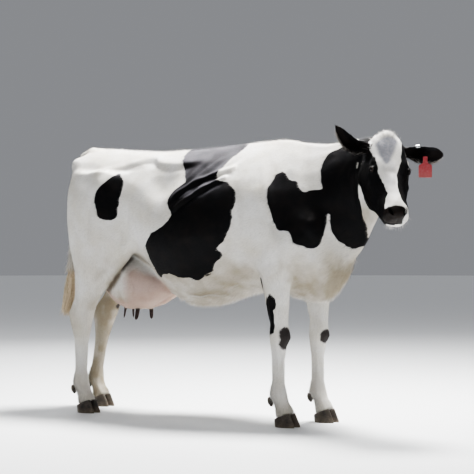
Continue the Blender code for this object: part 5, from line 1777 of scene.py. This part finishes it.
# %% The tree that grows hair
def grow_tree(sections):
    """A node tree that covers a mesh with tufts; `sections` is how many lengths a tuft bends in."""
    tree = bpy.data.node_groups.new(f"hair_{sections}", "GeometryNodeTree")
    tree.is_modifier = True
    face = tree.interface
    face.new_socket("Geometry", in_out="OUTPUT", socket_type="NodeSocketGeometry")
    face.new_socket("Geometry", in_out="INPUT", socket_type="NodeSocketGeometry")
    for name in ("Density", "Length", "Width", "Thickness", "Lift", "Stray", "Droop", "Curl", "Bulge"):
        face.new_socket(name, in_out="INPUT", socket_type="NodeSocketFloat")
    face.new_socket("Seed", in_out="INPUT", socket_type="NodeSocketInt")
    face.new_socket("Material", in_out="INPUT", socket_type="NodeSocketMaterial")
    build = HairNodes(tree)
    given = build.add("NodeGroupInput").outputs
    roots, turn, size = scattered_roots(build, given)
    placed = {"Points": roots, "Instance": one_tuft(build, sections), "Rotation": turn, "Scale": size}
    hair = build.add("GeometryNodeInstanceOnPoints", placed).outputs["Instances"]
    hair = build.add("GeometryNodeRealizeInstances", {"Geometry": hair}).outputs["Geometry"]
    squared = build.math("POWER", build.named("along"), 2.0)
    reach = build.math("MULTIPLY", squared, build.named("long"))
    arch = build.math("SUBTRACT", build.math("POWER", build.named("along"), 0.7), squared)
    bent = build.vector("SCALE", build.arrow("bend"), scale=reach)
    middle = build.math("MULTIPLY", arch, build.named("long"))
    moved = build.vector("ADD", bent, build.vector("SCALE", build.arrow("out"), scale=middle))
    hair = build.add("GeometryNodeSetPosition", {"Geometry": hair, "Offset": moved}).outputs["Geometry"]
    speck = build.vector("SUBTRACT", build.arrow("patch"), (0.5, 0.5, 0.0))
    speck = build.vector("SCALE", speck, scale=TUFT_PATCH)
    mapped = build.vector("ADD", build.arrow("root"), speck)
    hair = build.stored(hair, BAKE_MAP, mapped, "FLOAT2", "CORNER")
    for name in ("root", "patch", "along", "long", "bend", "out", "cover", "lengths", "lie"):
        hair = build.forgotten(hair, name)
    hair = build.add("GeometryNodeSetMaterial", {"Geometry": hair, "Material": given["Material"]})
    build.add("NodeGroupOutput", {"Geometry": hair.outputs["Geometry"]})
    return tree


TREES = {sections: grow_tree(sections) for sections in (1, 3, 7)}
print("trees:", {tree.name: len(tree.nodes) for tree in TREES.values()})

# %% [markdown]
# Every coat piece is grown in the same way. A copy of the skin is cut down to the faces that bear its
# hair, the tree is hung on it with that piece's sizes, and the result is kept as a plain mesh. The
# seed is the piece's number in the order of growing, so no two pieces repeat the same scatter.

# %% Growing a coat piece
coats = []


def grow(name, cover, lengths=None, sections=1, slot="coat_white", **sizes):
    """A coat piece: `cover` says where on the skin it grows, from 0 to 1, and `lengths` how long."""
    base = new_object(name, skin.data.copy())
    store(base.data, "cover", cover)
    store(base.data, "lengths", np.ones(len(cover)) if lengths is None else lengths)
    bare = bmesh.new()
    bare.from_mesh(base.data)
    layer = bare.verts.layers.float["cover"]
    spare = [face for face in bare.faces if not any(vertex[layer] > 0.01 for vertex in face.verts)]
    bmesh.ops.delete(bare, geom=spare, context="FACES")
    bare.to_mesh(base.data)
    modifier = modify(base, "hair", "NODES", node_group=TREES[sections])
    seed = len(coats) + 1
    settings = {"droop": 0.0, "curl": 0.0, "bulge": 0.0, "seed": seed, "material": HAIR, **sizes}
    for item in TREES[sections].interface.items_tree:
        if item.in_out == "INPUT" and item.name.lower() in settings:
            modifier[item.identifier] = settings[item.name.lower()]
    made = evaluated(base, name)
    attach(made, "root")
    coats.append(made)
    faces = len(made.data.polygons)
    print(f"{name}: {faces} faces, {faces // (1 + 3 * sections)} tufts")
    return made


print("pieces can be grown on", len(skin.data.polygons), "triangles of skin")

# %% [markdown]
# The short coat covers all of her but the nose, lids, teats and inner ears, and is thin on the udder.
# It is split into pieces by region, because a single mesh of it would be too heavy. Tufts are smallest
# on the face, the ears and the feet, where the coat is finest and the eye comes closest.

# %% The short coat
BODY_HAIR = {"length": 0.013, "width": 0.0018, "thickness": 0.0008, "lift": 0.10, "stray": 0.12}
FINE_HAIR = {"length": 0.010, "width": 0.0015, "thickness": 0.0006, "lift": 0.11, "stray": 0.14}

bare = pad * 1.6 + recess * 1.4 + lid_rims * 1.3 + teats * 2 + inner_ear * 0.9
haired = np.clip(1 - bare, 0, 1) * (1 - 0.62 * udder_bare)
haired *= step(points[:, 2], 0.045, 0.075)
right = (points[:, 1] < MID) * 1.0
scarce = 1.0
trunk = share("trunk") * haired
regions = [
    ("neck", share("neck")), ("thighs", share("thigh")), ("forearms", share("forearm")),
    ("udder_tail", share("udder") + share("tail")),
]
for place, (back, fore) in {"rump": (-2, -0.45), "barrel": (-0.45, 0.10), "shoulders": (0.10, 2)}.items():
    within = trunk * (points[:, 0] >= back) * (points[:, 0] < fore)
    regions += [(f"{place}_right", within * right), (f"{place}_left", within * (1 - right))]
for place, cover in regions:
    grow(f"coat_{place}", cover * haired, density=51000.0 * scarce, **BODY_HAIR)
face_length = 0.55 + 0.75 * step(-at_head[:, 0], -0.20, 0.02)
for place, cover, length, density in (
    ("shins", share("cannon", "pastern"), None, 62000.0), ("head", share("head"), face_length, 100000.0),
    ("ears", share("ear_"), None, 130000.0),
):
    grow(f"coat_{place}", cover * haired, length, density=density * scarce, **FINE_HAIR)

# %% [markdown]
# Some hair is long enough to break her outline: the curly tuft on the poll, the fringe round the ears
# and the hair inside them, the ridge of the back, the belly's middle line, the brisket, the sides of
# the tail, and the backs of the pasterns above the claws. The same tree grows it among the short coat,
# with longer, bent tufts.

# %% Longer hair
def along_ear(side):
    """How near each skin point is to the ear's rim, and how near to the inside of its root."""
    along, across, _ = in_ear(points, side)[0].T
    half = np.interp(along, EAR_STATIONS[side], EAR_HALF_WIDTHS[side])
    on = on_ear(points, side) * 1.0
    rim = on * step(np.abs(across) / half, 0.80, 0.93) * step(along, 0.02, 0.05)
    facing = normals @ np.array(EAR[side])[:3, 2]
    mouth = on * step(facing, 0.1, 0.5) * (1 - step(along, 0.09, 0.135))
    return rim, mouth


def midline(reach):
    """1 along her middle plane, fading to nothing on both sides of it."""
    return np.exp(-(((points[:, 1] - MID) / reach) ** 2))


def band(low, full, falling, gone):
    """1 between two heights, fading in below them and out above."""
    return step(points[:, 2], low, full) * (1 - step(points[:, 2], falling, gone))


rims, mouths = (sum(pair) for pair in zip(*(along_ear(side) for side in SIDES)))
poll = (nearest == "head") * bell(at_head, (-0.012, -0.002, -0.020), (0.040, 0.050, 0.040))
spine = share("trunk") * midline(0.030) * step(normals[:, 2], 0.6, 0.9)
crest = share("neck") * midline(0.10) * step(normals[:, 2], 0.5, 0.9)
under = step(-normals[:, 2], 0.55, 0.95)
belly_line = share("trunk") * under * midline(0.070) * step(points[:, 0], -0.38, -0.30)
breast = share("trunk", "neck") * bell(points, (0.66, MID, 0.80), (0.10, 0.09, 0.16))
pasterns = share("pastern") * band(0.055, 0.070, 0.10, 0.125)
heels = share("pastern", "cannon") * step(-normals[:, 0], 0.0, 0.6) * band(0.10, 0.12, 0.20, 0.24)
tail_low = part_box("tail")[0][2]
tail_hair = share("tail") * band(tail_low - 0.02, tail_low, tail_low + 0.10, tail_low + 0.45)
for place, cover, length, width, lift, curl, droop, density in (
    ("poll", poll, 0.022, 0.0024, 0.30, 0.45, 0.15, 60000.0),
    ("ear_rims", rims, 0.015, 0.0012, 0.30, 0.25, 0.0, 130000.0),
    ("ear_mouths", mouths, 0.026, 0.0016, 0.55, 0.35, 0.1, 60000.0),
    ("spine", np.clip(spine + crest, 0, 1), 0.021, 0.0022, 0.22, 0.25, 0.0, 26000.0),
    ("belly_line", belly_line, 0.026, 0.0024, 0.45, 0.30, 0.25, 22000.0),
    ("brisket", breast, 0.023, 0.0024, 0.20, 0.30, 0.20, 26000.0),
    ("coronets", pasterns, 0.019, 0.0018, 0.16, 0.20, 0.0, 50000.0),
    ("heels", heels, 0.023, 0.0020, 0.30, 0.25, 0.15, 45000.0),
    ("tail_sides", tail_hair, 0.045, 0.0026, 0.22, 0.20, 0.0, 40000.0),
):
    grow(
        f"tufts_{place}", np.clip(cover, 0, 1), sections=3, density=density * 1,
        length=length, width=width, thickness=0.45 * width, lift=lift, stray=0.22, curl=curl, droop=droop,
        material=FRINGE if place == "ear_rims" else HAIR,
    )

# %% [markdown]
# The tail ends in a switch of long hair. Its locks leave the skin all round the last hand's breadth of
# the tail bone and fall to one pointed end. They replace the solid that holds their place.

# %% The tail's switch
LOCK_LENGTH = 0.30
switch_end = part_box("tail_switch")[0][2]
on_dock = (nearest == "tail") * (1 - step(points[:, 2], tail_low - 0.005, tail_low + 0.010))
fall = (points[:, 2] - switch_end) / LOCK_LENGTH
print("the longest locks hang", round(LOCK_LENGTH * float(fall[on_dock > 0.5].max()), 3), "m")
switch = grow(
    "tail_locks", on_dock, np.clip(fall, 0.1, 1.4), sections=7, density=110000.0, length=0.80 * LOCK_LENGTH,
    width=0.0060, thickness=0.0035, lift=0.02, stray=0.045, droop=0.10, curl=0.06, bulge=0.28,
    material=SWITCH,
)
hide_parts("tail_switch")

# %% [markdown]
# Lashes hang over each eye from the upper lid, and a few stiff feelers stand out round the mouth. They
# are few and thin, but a face without them looks shaven. The same tree makes them, with its lift turned
# up so that they stand away from the skin.

# %% Lashes and feelers
lash_line = np.zeros(len(points))
for side in SIDES:
    along, up, out = eye_axes(side)
    offset = at_head - EYE_AT[side]
    near = (np.linalg.norm(offset, axis=1) < 0.034) & (offset @ out > 0) & (offset @ up > 0.002)
    edge = opening(offset @ along, offset @ up)
    lash_line += near * step(edge, 0.0004, 0.0012) * (1 - step(edge, 0.0026, 0.0036))
lips = (nearest == "head") * (1 - pad)
lips = lips * step(at_head[:, 0], 0.40, 0.44) * step(-at_head[:, 2], 0.095, 0.115)
grow(
    "lashes", lash_line, sections=3, slot="coat_black", density=420000.0, length=0.013, width=0.0007,
    thickness=0.0006, lift=1.1, stray=0.25, droop=0.55, curl=0.1,
)
grow(
    "feelers", lips, sections=3, density=6000.0, length=0.024, width=0.0007, thickness=0.0006, lift=1.0,
    stray=0.3, droop=0.2, curl=0.15,
)
print("coat in all:", sum(len(f.vertices) - 2 for c in coats for f in c.data.polygons), "triangles")

# %% [markdown]
